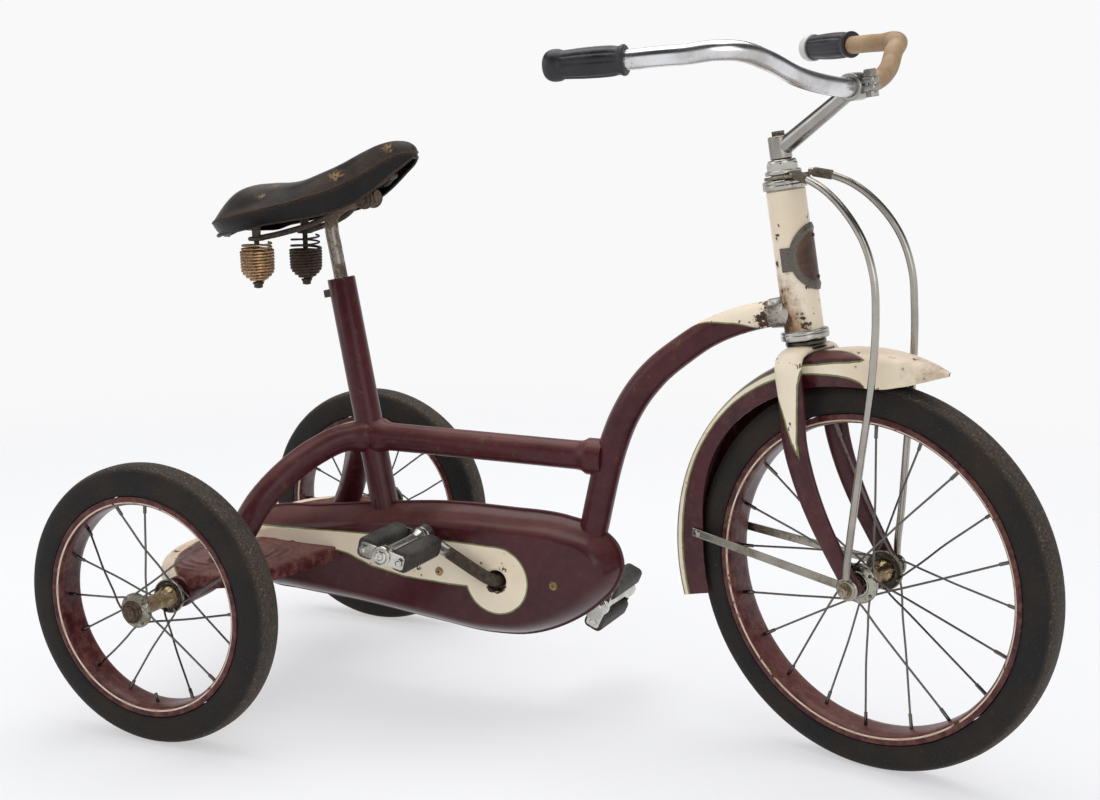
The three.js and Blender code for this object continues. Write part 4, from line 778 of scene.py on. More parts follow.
piece("backbone", [sweep(backbone_line, backbone_radius, 48)], "frame", frame_paint, ["backbone_tube"],
      fields={"cream": backbone_dart, "worn": braze})
seat_loop = [(8.3, 0), (tube_radius, 0), (tube_radius, 330.0), (15.2, 331), (9.0, 331), (8.3, 330.4)]
piece("seat_pillar", [spun(seat_loop, seat_foot, seat_direction, 48, closed=True)], "frame", frame_paint,
      ["seat_tube"])
top_start = on_seat((top_tube_height - seat_foot[2]) / seat_direction[2])
top_line = np.linspace(top_start, (428.0, 0, top_tube_height - 3), 60)
near_seat = np.maximum(0, norm(top_line - top_line[0], axis=1) - 16.5)
near_backbone = np.maximum(0, norm(top_line - top_line[-1], axis=1) - 21)
flare_out = 4.2  # what the tube widens by where it is brazed on
flare = flare_out * (np.exp(-near_seat / 3.2) + np.exp(-near_backbone / 3.2))
top_rail = sweep(top_line, tube_radius + np.minimum(flare, flare_out), 48)
piece("top_rail", [top_rail], "frame", frame_paint, ["top_tube"])
stay_end = 197.0
stay_knots = np.array([
    [146, -6, 303], [132, 6, 303], [112, 24, 302], [90, 47, 290], [69, 80, 268], [50, 104, 240],
    [33, 118, 206], [16, 127, 176], [4, 143, 158], [0, 162, 154], [0, 180, 154], [0, stay_end, 154]])
for side, s in sides:
    line = smooth_line(stay_knots * (1, s, 1), 110)
    run = travelled(line)
    to_end = run[-1] - run
    radius = tube_radius + 3.0 * np.exp(-((run - 22) / 9) ** 2) + 1.6 * unit(1 - (to_end - 8) / 14)
    radius = np.where(to_end < 1.2, radius - (1.2 - to_end) * 0.8, radius)
    stay = sweep(line, radius, 44, (-0.6, 0.0, 0.8))
    piece("stay_bend_" + side, [stay], "frame", frame_paint, ["stay_" + side])
axle_shell = [rounded((0, -15, axle_height), (0, 30, axle_height), 17, 1.5, 48)]
crank_shell = [rounded(crank_at + (0, -15, 0), crank_at + (0, 30, 0), 20, 1.5, 48)]
under_bar = [sweep(np.linspace((12, 0, axle_height), crank_at - (12, 0, 0), 8), 12.5, 32)]
piece("bottom_shells", axle_shell + crank_shell + under_bar, "frame", frame_paint, ["lower_tube"])

# ---------------------------------------------------------------------------------------
# Head tube and lug. A cream enamelled tube joined to the backbone by a brazed lug, where the
# enamel has flaked off to bare steel, braze and rust.

rake_forward = np.cross(leftward, steer_axis)
head_paint = painted("head_enamel", wear=-0.15, fade=0.1, shift=3.7)


def raked(p):
    """Points given forward, left and up along the head axis, put in place."""
    p = np.asarray(p, float)
    return head_at + p[..., :1] * rake_forward + p[..., 1:2] * leftward + p[..., 2:] * steer_axis


head_radius, head_top, head_low = 20.0, 143.5, -0.5
head_shell = [(0, head_low), (18.6, head_low), (head_radius, head_low + 1.2), (head_radius, 60),
              (head_radius, 110), (head_radius, head_top - 1.2), (18.6, head_top), (0, head_top)]
lug_line = np.linspace((642.0, 0, 470.6), (612.0, 0, 465.5), 26)
lug_run = norm(lug_line - lug_line[0], axis=1)
lug_radius = 15.4 + 2.4 * np.exp(-np.maximum(0, lug_run - 12) / 5.0) - 0.35 * unit((lug_run - 16) / 14)
lug_radius[-1] -= 0.9


def lug_wear(p):
    """1 round the joint of the lug and the tube, and falling off with distance from it."""
    joint = np.array([628.0, 0.0, 468.0])
    return unit(1.15 - norm((p - joint) * (1.0, 0.5, 0.8), axis=1) / 38)


piece("head_shell", [spun(head_shell, head_at, steer_axis, 64)], "frame", head_paint, ["head_tube"], fields={
    "cream": lambda p: np.full(len(p), 40.0), "worn": lug_wear, "stain": lambda p: 1.4 * lug_wear(p)})
lug_steel = metal("lug_steel", 0.3, (178, 173, 164), 3.9, rusts=((70, 50, 36), (112, 90, 70)))
piece("head_lug", [sweep(lug_line, lug_radius, 48)], "frame", lug_steel)

# ---------------------------------------------------------------------------------------
# Head badge. An oval pressed plate with a raised rim, wrapped round the front of the head
# tube, on a band with a tab each side. Its face is left blank but for two rivets, above and below its middle.

badge_middle, badge_tall, badge_reach = head_top * 0.515, 34.0, 88


def badge_metal():
    """Brown lacquer over brass, worn to dark metal on the raised rim."""
    material, tree = blank_material("badge_lacquer")
    old = use(tree, grime, {"Patch Scale": 60.0, "Speck Scale": 500.0})
    face = tint(ramp(old["Patches"], 0.3, 0.7), (66, 44, 36), (94, 68, 54))
    band = tint(ramp(old["Specks"], 0.3, 0.7), (84, 78, 72), (112, 104, 96))
    colour = tint(attribute(tree, "raised"), face, band)
    return finished(material, colour, 0.42, old["Specks"], 0.0002, metallic=0.35)


def badge_plate(reach, tall, lift, rows, oval, rim=0.0):
    """A closed curved plate, lifted off the tube: an oval whose face rises to a rim, or a band.

    It reaches so many degrees round the tube, and so far up and down from its middle.
    """
    v = np.linspace(-1, 1, rows)[:, None]
    width = np.sqrt(np.maximum(0.0009, 1 - v ** 2)) if oval else np.ones_like(v)
    share = np.linspace(-1, 1, 61)[None, :] * width
    angle = np.radians(reach) * share
    height = np.broadcast_to(badge_middle + tall * v, angle.shape)
    bump = rim * np.exp(-((np.hypot(share, v) - 0.86) / 0.07) ** 2)
    front, back = (raked(np.stack([out * np.cos(angle), out * np.sin(angle), height], -1))
                   for out in (head_radius + lift + bump, head_radius + 0.4))
    return skin(np.concatenate([front, back[:, ::-1]], axis=1), ends="strip")


def rim_share(p):
    """1 on the raised rim of the oval and on the band, 0 on the flat of the face."""
    off = p - head_at
    height = off @ steer_axis
    angle = np.arctan2(off[:, 1], off @ rake_forward)
    edge = np.sqrt((angle / np.radians(badge_reach)) ** 2 + ((height - badge_middle) / badge_tall) ** 2)
    return unit((edge - 0.74) / 0.06)


badge_parts = [badge_plate(badge_reach, badge_tall, 2.0, 61, True, 1.0), badge_plate(114, 12, 1.1, 9, False)]
for height in (badge_middle - 21, badge_middle + 21):
    badge_parts.append(rounded(raked((head_radius + 1.6, 0, height)), raked((head_radius + 3.4, 0, height)),
                               2.0, 0.8, 20))
piece("badge_plate", badge_parts, "frame", badge_metal(), ["head_badge"], crease=60,
      fields={"raised": rim_share})

# ---------------------------------------------------------------------------------------
# Chain case. Two pressed steel halves meet at a rolled seam round the edge and hide the
# chain. The near half carries a cream lance that swells into a disc round the crank.

case_half, case_wall, crank_hole = 35.0, 1.3, 13.4
case_paint = painted("case_enamel", wear=-0.2, fade=0.12, shift=5.1, gloss=0.25)
case_edge = np.array([
    [-46, 158], [-41, 179], [-26, 196], [0, 206], [60, 212.5], [150, 224], [232, 232], [310, 232.5],
    [385, 229], [422, 219], [441, 202], [447, 182], [440, 160], [418, 135], [384, 111], [335, 92],
    [290, 88], [220, 94], [120, 104.5], [30, 110], [-8, 113], [-32, 125], [-43, 141]], float)


def closed_line(knots, count):
    """A smooth closed curve through knots, sampled at evenly spaced lengths."""
    wide = np.vstack([knots[-4:], knots, knots[:5]])
    fine = smooth_line(wide, 60 * len(wide))
    start = np.argmin(((fine[:len(fine) // 2] - knots[0]) ** 2).sum(1))
    stop = len(fine) // 2 + np.argmin(((fine[len(fine) // 2:] - knots[0]) ** 2).sum(1))
    loop = fine[start:stop + 1]
    run = travelled(loop)
    even = np.linspace(0, run[-1], count, endpoint=False)
    return np.column_stack([np.interp(even, run, values) for values in loop.T])


case_line = closed_line(case_edge, 520)


def inset(loop, depth):
    """A closed outline moved inwards by a depth, each point along its own normal."""
    along = np.roll(loop, -1, 0) - np.roll(loop, 1, 0)
    along /= norm(along, axis=1, keepdims=True)
    return loop + depth * np.column_stack([along[:, 1], -along[:, 0]])


def standing(loop, y):
    """A flat outline, forward and up, stood at a distance to the left."""
    return np.column_stack([loop[:, 0], np.full(len(loop), y), loop[:, 1]])


def side_distance(p, outline):
    """Least distance from each point to the sides of a closed outline."""
    run = np.roll(outline, -1, 0) - outline
    t = unit(((p[:, None] - outline) * run).sum(-1) / np.maximum((run ** 2).sum(-1), 1e-9))
    return norm(p[:, None] - (outline + t[..., None] * run), axis=-1).min(1)


def within(p, outline):
    """True for points inside a closed outline, by counting crossings."""
    x, y = p[:, :1], p[:, 1:]
    a, b = outline, np.roll(outline, -1, 0)
    crosses = ((a[:, 1] > y) != (b[:, 1] > y)) & (
        x < (b[:, 0] - a[:, 0]) * (y - a[:, 1]) / (b[:, 1] - a[:, 1] + 1e-9) + a[:, 0])
    return crosses.sum(1) % 2 == 1


lance = np.array([
    [-30, 185], [-0.8, 190], [119, 194], [200, 195.5], [258, 196.4], [290, 195.6], [310, 195.2], [292, 149.5],
    [256, 148.6], [195, 151], [150, 159], [121, 170], [95, 174.5], [8, 177], [-30, 178]])


def case_lance(p):
    """20 plus the depth inside a lance joined to a disc round the crank, on the near face only."""
    flat = p[:, [0, 2]]
    blade = np.where(within(flat, lance), 1, -1) * side_distance(flat, lance)
    disc = 37.0 - norm(flat - crank_at[[0, 2]], axis=1)
    return np.where(p[:, 1] < -20, np.clip(20 + np.maximum(blade, disc), 0, 40), 0)


def hole_rust(p):
    """1 along the lower edge of the hole for the crank."""
    off = p[:, [0, 2]] - crank_at[[0, 2]]
    radius = norm(off, axis=1)
    low = unit(0.4 - off[:, 1] / 16)
    return unit(1 - (radius - crank_hole) / 3.5) * low * (np.abs(p[:, 1]) > case_half - 3)


def case_side(s):
    """Half of the case: the outline is drawn in ring by ring while the wall swells out to the face.

    The wall leans outwards over the outer 20 mm and folds into the face, which is a fine flat grid.
    """
    depth_in = np.array([0.0, 0.3, 1.0, 2.2, 4.0, 6.5, 9.5, 12.5, 15.5, 17.5, 19.0, 20.0, 21.5, 24.0])
    rise = (np.sin(1.4 * np.minimum(depth_in / 20.0, 1)) / math.sin(1.4)) ** 0.75
    rings = [standing(inset(case_line, d), s * (1.0 + (case_half - 1.0) * r)) for d, r in zip(depth_in, rise)]
    face = rings[-1][:, [0, 2]]
    spine = np.clip(face[:, 0], 10, 385)
    spine = np.column_stack([spine, np.interp(spine, [10, 385], [160, 164])])
    rings += [standing(face * (1 - t) + spine * t, s * case_half) for t in np.linspace(0, 1, 46)[1:]]
    outer = np.array(rings)
    back = outer[::-1].copy()
    back[:, :, 1] = np.where(np.abs(back[:, :, 1]) > case_wall + 0.2, back[:, :, 1] - s * case_wall, s * 0.2)
    back[0] = outer[-1]
    return outer, back


collar_section = np.array([(-1.2, -1.6), (-1.2, 0.5), (0.6, 1.3), (3.2, 1.0), (4.6, -0.4), (3.0, -1.4)])
collar_section += (crank_hole, 0)
lip_section = [(0.6, 0.3), (-1.6, 0.3), (-2.1, 0.8), (-2.1, 1.6), (-1.5, 2.2), (0.4, 2.4), (1.6, 1.6)]
for side, s in sides:
    outer, back = case_side(s)
    vertices, quads, triangles = skin(outer)
    from_crank = norm(vertices[:, [0, 2]] - crank_at[[0, 2]], axis=1)
    cut = (from_crank < crank_hole + 0.6) & (np.abs(vertices[:, 1]) > case_half - 1)
    shell = vertices, quads[~cut[quads].any(1)], triangles
    collar = hoop(collar_section, 0.6, crank_at + (0, s * case_half, 0), (0, s, 0), 64)
    lip = skin(np.array([standing(inset(case_line, depth), s * y) for depth, y in lip_section]),
               wrap_rows=True)
    piece("case_shell_" + side, [shell, lip, collar], "frame", case_paint, ["chain_case_" + side], crease=50,
          fields={"cream": case_lance, "worn": hole_rust})
# painted shade: near-black plugs in the middle of the screw heads stand for the shadow inside each socket
hole_dark = metal("hole_dark", 0.3, (34, 30, 26), 4.4, rusts=((22, 18, 16), (40, 32, 26)))
screw_steel = metal("screw_steel", 0.5, (178, 160, 118), 4.0, rusts=((96, 74, 44), (160, 132, 84)))
screw_profile = [(0, 0), (5.0, 0), (5.0, 0.8), (4.2, 1.9), (2.6, 2.6), (1.3, 2.7), (1.2, 1.6), (0, 1.5)]
for name, (x, z) in (("rear", (239, 161)), ("front", (380, 160))):
    head = spun(screw_profile, (x, 0.2 - case_half, z), (0, -1, 0), 32)
    socket = rounded((x, -case_half, z), (x, -case_half - 2.2, z), 1.5, 0.2, 20)
    piece("case_screw_head_" + name, [head], "frame", screw_steel, ["case_screw_" + name])
    piece("case_screw_socket_" + name, [socket], "frame", hole_dark)

# ---------------------------------------------------------------------------------------
# Step decks. A pressed steel half oval on each side behind the case, with raised ribs for the
# feet and a rolled skirt. It is enamelled like the frame, with a cream band at its rear edge.

deck_inner, deck_top = 36.0, 176.0
deck_paint = painted("deck_enamel", wear=-0.1, fade=1.1, shift=8.2, gloss=0.05)


def deck_edge(angle):
    """Outline of a deck by angle: an oval cut off straight near the case. Forward, outward in mm."""
    reach = np.array([86 * np.cos(angle), 126 * np.sin(angle)])
    inward = np.minimum(1.0, np.where(reach[1] < 0, 34.0 / np.maximum(1e-6, -reach[1]), 1.0))
    edge = reach * inward
    edge[0] += 12 * np.exp(-((edge[1] + 34) / 20) ** 2) * unit(np.cos(angle))
    return edge


def deck_grid(s):
    """Rings from the middle out to the edge. Height: three bell-shaped ribs, then a rolled edge."""
    angle = np.linspace(0, 2 * math.pi, 192, endpoint=False)
    edge = deck_edge(angle)
    shares = np.r_[np.linspace(0.02, 0.93, 80), np.linspace(0.935, 1.0, 14)]
    x, y = 10 + shares[:, None] * edge[0], 70 + shares[:, None] * edge[1]
    oval = np.hypot((x - 8) / 66, (y - 102) / 80)
    ribs = sum(np.exp(-((oval - ratio) / 0.036) ** 2) for ratio in (1.0, 0.84, 0.68))
    roll = unit((shares[:, None] - 0.9) / 0.1)
    drop = 15.0 * (y >= deck_inner + 4) * (1 - np.sqrt(np.maximum(0, 1 - roll ** 2.4)))
    band = (1 - shares[:, None]) * np.hypot(*edge)
    rearward = unit((-(x - 10) / 86 - 0.05) / 0.5)
    cream = np.clip(20 + 22 * rearward - 2 - band, 0, 40) * (rearward > 0)
    return np.stack([x, s * y, deck_top + 1.7 * ribs - drop], -1), cream


for side, s in sides:
    outer, cream = deck_grid(s)
    under = outer[::-1] - (0, 0, 1.6)
    under[0] = outer[-1] - (0, 0, 0.8)
    field = np.concatenate([cream.ravel(), np.zeros(cream.size), [0, 0]])
    piece("deck_plate_" + side, [skin(np.concatenate([outer, under]), ends="fan")], "frame", deck_paint,
          ["deck_" + side], fields={"cream": field})

# ---------------------------------------------------------------------------------------
# Chain drive inside the case: a pressed chainring, a block chain and a small sprocket on the
# axle. They are oiled steel, brown with old grease.

oiled = metal("oiled_steel", 0.5, (92, 84, 76), 6.1)
for name in ("chain", "chainring", "rear_sprocket"):
    frame["nodes"][name].data.materials.clear()
    frame["nodes"][name].data.materials.append(oiled)

# ---------------------------------------------------------------------------------------
# Crank. One forged steel bar bent through the bracket, with its two arms opposite. Its plating
# has worn dark near the case and stays bright by the pedals.

crank_steel = metal("crank_steel", 0.06, (184, 182, 178), 9.4, rusts=((50, 40, 33), (82, 66, 52)))
crank_length = 95.0
pedal_ends = {}
crank_parts = [rounded(crank_at + (0, -21, 0), crank_at + (0, 21, 0), 8.0)]
pedal_boss = [(0, 42.8), (9.6, 42.8), (11, 44.2), (11, 55.6), (9.8, 57), (6.2, 57), (6.2, 58.6), (4.2, 58.6),
              (4.2, 130), (0, 130)]


def pointing(degrees):
    """A unit direction in the upright plane, so many degrees up from straight forward."""
    return np.array([math.cos(math.radians(degrees)), 0.0, math.sin(math.radians(degrees))])


for (side, s), slope in zip(sides, (150.0, -30.0)):
    arm = pointing(slope)
    knots = [crank_at + along * arm + s * out * leftward for along, out in (
        (0, 8), (0, 20), (0, 31), (2.5, 37.5), (8, 41.6), (18, 43.8), (40, 46), (66, 48), (91, 50))]
    line = smooth_line(knots, 60)
    flat = unit(1 - (norm(line - line[-1], axis=1) - 4) / 30)
    crank_parts.append(sweep(line, 6.9 + 0.9 * flat, 32, arm + (0, 0.02, 0), (1.0 - 0.12 * flat, 1.0)))
    pedal_ends[side] = (crank_at + crank_length * arm) * (1, 0, 1)
    crank_parts.append(spun(pedal_boss, pedal_ends[side], s * leftward, 40))


def crank_wear(p):
    """Dark and rusty out to 44 mm from the axis of the crank, clean beyond 70 mm."""
    return 1.3 * unit(1 - (norm((p - crank_at)[:, [0, 2]], axis=1) - 44) / 26)


piece("crank_bar", crank_parts, "crank", crank_steel, ["crank"], fields={"worn": crank_wear})

# ---------------------------------------------------------------------------------------
# Pedals. Two rubber blocks on bolts between end plates of bright plated steel, turning on a
# waisted barrel with a domed dust cap.

pedal_steel = metal("pedal_plating", 0.16, (206, 204, 196), 11.0, rusts=((90, 76, 58), (140, 118, 88)))


def block_rubber():
    """Soft rubber, black with dusty patches, and brown specks where it has perished."""
    material, tree = blank_material("perished_rubber")
    old = use(tree, grime, {"Patch Scale": 40.0, "Speck Scale": 500.0})
    colour = tint(ramp(old["Patches"], 0.35, 0.65), (46, 45, 43), (76, 72, 66))
    colour = tint(ramp(old["Specks"], 0.6, 0.75, 0.0, 0.5), colour, (120, 108, 90))
    rough = ramp(old["Patches"], 0.3, 0.7, 0.5, 0.75)
    return finished(material, colour, rough, old["Specks"], 0.0004, specular=0.35)


rubber_paint = block_rubber()
pedal_start = 60.0  # from the middle of the tricycle out to the inner end of a pedal
pedal_barrel = np.vstack([[0, 0], soften([
    (4.6, 0), (9.4, 0), (10.8, 1.4), (11, 6), (9.2, 9.5), (7.4, 15), (7.0, 30), (7.4, 66), (9.2, 71),
    (11, 76), (11.2, 83.6), (10.4, 85.2), (8.8, 85.6), (8.2, 84.4), (7.4, 84.4), (6.8, 86.0), (4.6, 87.2),
    (3.4, 86.4), (0.2, 86.7)], 0.5)])
waist = block_outline(27.5, 8.4, 3.4, 8)
waist[:, 1] *= 1 + 0.14 * np.cos(np.clip(waist[:, 0] / 12, -1.57, 1.57)) - 0.02 * np.abs(waist[:, 0]) / 10
block_run = np.r_[0, 0.5, 1.4, np.linspace(2.6, 71, 40), 72.4, 73.4, 73.9]
rounding = [0.9, 0.95, 0.985, 1.0]
block_size = np.interp(block_run, np.r_[block_run[:4], block_run[-4:]], rounding + rounding[::-1])
groove_step = 7.4
grooved = (np.sin(block_run * 2 * math.pi / groove_step) > 0.72) & (block_run > 4) & (block_run < 70)
block_size = (block_size * (1 - 0.035 * grooved))[:, None, None]
block_ring = block_outline(10.2, 11.6, 6.2, 8)[None] * block_size
for (side, s), tilt in zip(sides, (-14.0, 66.0)):
    end, across_block, up_block = pedal_ends[side], pointing(tilt), pointing(tilt + 90)

    def at_pedal(x, d):
        """A point of the pedal: x across it and d out from its inner end."""
        return end + x * across_block + (pedal_start + d) * s * leftward

    frame_parts = [spun(pedal_barrel, at_pedal(0, 0), s * leftward, 40)]
    plate = np.array([x * across_block + z * up_block for x, z in waist])
    for inner, outer in ((3.0, 5.4), (80.0, 82.4)):
        frame_parts.append(slab(plate, at_pedal(0, inner), at_pedal(0, outer)))
    for x in (-22.0, 22.0):
        frame_parts += [rounded(at_pedal(x, 1), at_pedal(x, 83), 2.6, 0.4, 16),
                        hexagon(at_pedal(x, 82.4), at_pedal(x, 85.6), 8.6, 0.5, 20 * x),
                        spun([(0, 0), (3.4, 0), (3.2, 0.9), (1.8, 1.6), (0, 1.9)], at_pedal(x, 85.4),
                             s * leftward, 20),
                        rounded(at_pedal(x, 0.4), at_pedal(x, 3.1), 4.4, 0.6, 20)]
    piece("pedal_cage_" + side, frame_parts, "pedal_" + side, pedal_steel, ["pedal_frame_" + side])
    for where, x in (("rear", -21.6), ("front", 21.6)):
        grid = (at_pedal(x, 5.9) + block_ring[..., :1] * across_block + block_ring[..., 1:] * up_block
                + block_run[:, None, None] * s * leftward)
        piece("pedal_block_%s_%s" % (side, where), [skin(grid, ends="fan")], "pedal_" + side, rubber_paint,
              ["pedal_rubber_%s_%s" % (side, where)], crease=50)

# ---------------------------------------------------------------------------------------
# Headset. Pressed cups in both ends of the head tube and a locknut above them, all plated
# and dull. Under the lower cup, over the fork crown, a near-black race is painted shade for the gap.

steer_forward = np.cross(front_axis, steer_axis)
dull_chrome = metal("dull_chrome", 0.24, (190, 188, 182), 12.0)


def steered(p):
    """Points given forward, left and up in the fork's own frame, put in place."""
    p = np.asarray(p, float)
    return head_at + p[..., :1] * steer_forward + p[..., 1:2] * front_axis + p[..., 2:] * steer_axis


def in_fork(p):
    """The fork's own forward, left and up of points in the scene."""
    off = p - head_at
    return off @ steer_forward, off @ front_axis, off @ steer_axis


lower_cup = [(15.9, -9), (21.5, -9), (24.0, -8.4), (24.6, -7.0), (24.6, -3.2), (24.0, -2.4), (24.6, -1.6),
             (24.4, 0.0), (23.2, 0.8), (20.9, 1.0), (20.6, 1.6), (15.9, 1.6)]
upper_cup = [(15.9, 143.6), (20.9, 143.6), (22.3, 144.5), (22.5, 147.6), (21.8, 149.2), (22.5, 150.6),
             (22.0, 152.4), (20.6, 153.4), (18.6, 153.8), (15.9, 152.6)]
for place_on, cup in (("lower", lower_cup), ("upper", upper_cup)):
    piece("cup_" + place_on, [hoop(cup, 0.5, head_at, steer_axis, 64)], "frame", dull_chrome,
          ["headset_cup_" + place_on])
lock_at = head_at + 158.7 * steer_axis
lock_ring = [(13.0, 0), (17.8, 0), (18.5, 0.8), (18.5, 3.4), (17.2, 4.4), (13.0, 4.4)]
lock_cap = [(13.0, 10.6), (14.6, 10.6), (15.0, 11.4), (14.6, 13.6), (13.6, 14.8), (10.5, 14.8), (10.5, 12.6)]
piece("locknut", [hoop(lock_ring, 0.4, lock_at, steer_axis, 56), hoop(lock_cap, 0.5, lock_at, steer_axis, 56),
                  hexagon(lock_at + 3.6 * steer_axis, lock_at + 11.2 * steer_axis, 30.2, 0.8, 14)],
      "steering", dull_chrome, ["headset_locknut"])

# ---------------------------------------------------------------------------------------
# Fork. Flat oval blades brazed to a crown on a steel steerer, raked forward to the axle. The
# outer faces carry a cream dart with a green edge that runs down from the crown.

fork_paint = painted("fork_enamel", wear=-0.15, fade=0.25, shift=14.0, gloss=0.25)
# painted shade: the crown race is near black, standing for the shadow in the gap under the head cup
crown_race_painted_shade = metal("crown_race", 0.15, (40, 39, 40), 15.0)
blade_out = 39.8
blade_knots = np.array([
    [0, 0, -18.6], [0, 12, -18.6], [0, 25, -19.8], [0, 33.5, -23.6], [0, 38.4, -31.5], [0, 39.6, -42],
    [0, blade_out, -57], [-1, blade_out, -75], [-3, 40.2, -107], [1, 40.5, -141], [13, 41, -187],
    [26.5, 41.2, -222], [40.2, 41.2, -254]])


def fork_dart(p):
    """20 plus the depth inside the dart: all of the crown, then between two edges that meet at its tip."""
    x, y, z = in_fork(p)
    ahead = x - np.interp(-z, -blade_knots[5:, 2], blade_knots[5:, 0])
    front_edge = np.interp(-z, [24, 40, 50, 75, 117, 140], [19, 13.4, 10.6, 7.4, 3.5, 1.5])
    rear_edge = np.interp(-z, [24, 36, 50, 75, 117, 140], [-24, -21, -17, -8.0, 3.5, 12])
    depth = np.minimum(np.minimum(front_edge - ahead, ahead - rear_edge) * 0.94, 12)
    depth = np.minimum(depth, np.abs(y) - np.interp(-z, [26, 34, 44], [0, 20, 37.5]))
    return np.clip(20 + np.where(z > -26, 12, depth), 0, 40)


def crown_wear(p):
    """Chips round the top of the blades."""
    return 0.22 * unit(1 - np.abs(in_fork(p)[2] + 30) / 22)


fork_parts = []
share = np.linspace(0, 1, 120)
thick = np.interp(share, [0, 0.12, 0.2, 0.6, 1], [5.4, 5.6, 6.0, 5.2, 4.0])
deep = np.interp(share, [0, 0.12, 0.2, 0.45, 0.8, 1], [15.6, 15.6, 15.4, 14.0, 11.0, 9.6])
for s in (-1, 1):
    line = smooth_line(steered(blade_knots * (1, s, 1)), 120)
    end = front_hub_at + s * 36.8 * front_axis
    foot = spun([(0, 0), (9.8, 0), (11, 1.2), (11, 5.2), (9.8, 6.4), (0, 6.4)], end, s * front_axis, 40)
    fork_parts += [sweep(line, 1.0, 48, steer_forward, (thick, deep), 0.86), foot]
fork_parts.append(rounded(head_at - 22 * steer_axis, head_at + 170 * steer_axis, 12.7, 0.8, 40))
piece("fork_blades", fork_parts, "steering", fork_paint, ["fork"],
      fields={"cream": fork_dart, "worn": crown_wear})
race = [(12.7, -9.6), (20.2, -9.6), (20.8, -10.6), (20.8, -13.4), (19.8, -14.4), (19.8, -16.4), (21.4, -18.2),
        (12.7, -18.2)]
piece("crown_race", [hoop(race, 0.5, head_at, steer_axis, 56)], "steering", crown_race_painted_shade)

# ---------------------------------------------------------------------------------------
# Truss rods. Plated steel rods run from sleeves under the locknut, out over the fender and
# down to eyes on the front axle. Their plating has gone grey and brown.

rod_steel = metal("truss_plating", 0.1, (172, 168, 160), 16.0, 0.0001, ((104, 94, 82), (140, 130, 114)))
sleeve_steel = metal("sleeve_steel", 0.5, (136, 130, 114), 17.0, rusts=((70, 62, 50), (112, 102, 84)))
plate_low, plate_high = 154.2, 157.6
truss_knots = np.array([
    [20, 15, 157.6], [30, 18.8, 155.8], [39.5, 22.5, 151.6], [60, 28, 140], [87, 33, 112], [103.5, 35.5, 80],
    [109, 37, 48], [106, 38, 10], [94.5, 41, -50], [73, 46, -130], [53, 50.5, -205], [44.5, 50.8, -236],
    [43, 50.8, -245]])
eye = [(5.4, 47.6), (10.8, 47.6), (12, 48.6), (12, 50.0), (11, 51), (9.6, 51.2), (5.4, 50.9)]
for side, s in sides:
    line = smooth_line(steered(truss_knots * (1, s, 1)), 200)
    piece("truss_bar_" + side, [sweep(line, 3.8, 24, steer_forward + 0.3 * front_axis),
                                hoop(eye, 0.4, front_hub_at, s * front_axis, 40)],
          "steering", rod_steel, ["truss_rod_" + side])
plate_ring = [(12.9, plate_low), (19.2, plate_low), (19.9, plate_low + 0.8), (19.9, plate_high - 0.8),
              (19.2, plate_high), (12.9, plate_high)]
tongue = mirrored(np.array([[12, -19.0], [24, -19.8], [29, -17.5], [30, -12]]))
outline = steered(np.column_stack([tongue, np.zeros(len(tongue))])) - head_at
bracket = [hoop(plate_ring, 0.3, head_at, steer_axis),
           slab(outline, head_at + plate_low * steer_axis, head_at + plate_high * steer_axis)]
for s in (-1, 1):
    bracket.append(rounded(steered((24, s * 16.5, 157.0)), steered((42, s * 23.7, 150.8)), 4.9, 1.2, 32))
piece("truss_plate", bracket, "steering", sleeve_steel, ["truss_bracket"])

# ---------------------------------------------------------------------------------------
# Front fender. A deep rolled steel mudguard with a pointed nose, held by the fork crown and a
# stay each side. Cream stripes outlined in green part at the front round a maroon island.

fender_paint = painted("fender_enamel", wear=-0.2, fade=0.3, shift=20.0, gloss=0.25)
fender_radius, fender_gauge = 235.7, 1.4
hub_forward, hub_up = 41.0, -256.0  # the front axle in the fork's own frame
fender_stations = [
    # degrees from the front horizontal, edge radius, half width
    [194, 190, 25], [184, 190, 26], [174, 191, 27], [163, 198, 27], [151, 205, 27], [139, 208, 27],
    [127, 207, 27], [115, 204, 27], [103, 202, 27], [92, 200.5, 26.5], [85, 201.5, 24], [79, 208, 18],
    [74, 218, 11], [70.6, 227, 4.6], [69.2, 231, 2.0]]
rake = math.degrees(math.atan2(-steer_axis[0], steer_axis[2]))


def fender_grid(skin_depth, rows=220, columns=61):
    """The fender's skin, sunk by a depth.

    Along it: angle, edge radius and half width run smoothly through the stations. Across it, with
    k from -1 to 1: the side reaches 1.28 sin(0.43 pi k) of the half width, at most all of it, and
    the radius falls from the crown to the edge by 1 - sqrt(1 - |k| ** 2.3).
    """
    track = smooth_line(fender_stations, rows)
    k = np.sin(np.linspace(-1, 1, columns) * math.pi / 2)
    angle, edge, half = (track[:, i:i + 1] for i in range(3))
    half = np.maximum(half, skin_depth + 0.5)
    top = fender_radius - skin_depth - 4.5 * (np.maximum(0, angle - 110) / 84) ** 0.8
    reach = np.abs(k)[None]
    out = np.sign(k) * np.minimum(1, 1.28 * np.sin(reach * math.pi / 2 * 0.86)) * (half - skin_depth)
    fall = (1 - np.sqrt(np.maximum(0, 1 - reach ** 2.3))) * (0.86 + 0.14 * reach ** 8)
    radius = top - (top - edge) * fall
    turned = np.radians(angle - rake)
    grid = np.stack([hub_forward + radius * np.cos(turned), out, hub_up + radius * np.sin(turned)], -1)
    return steered(grid), angle, k


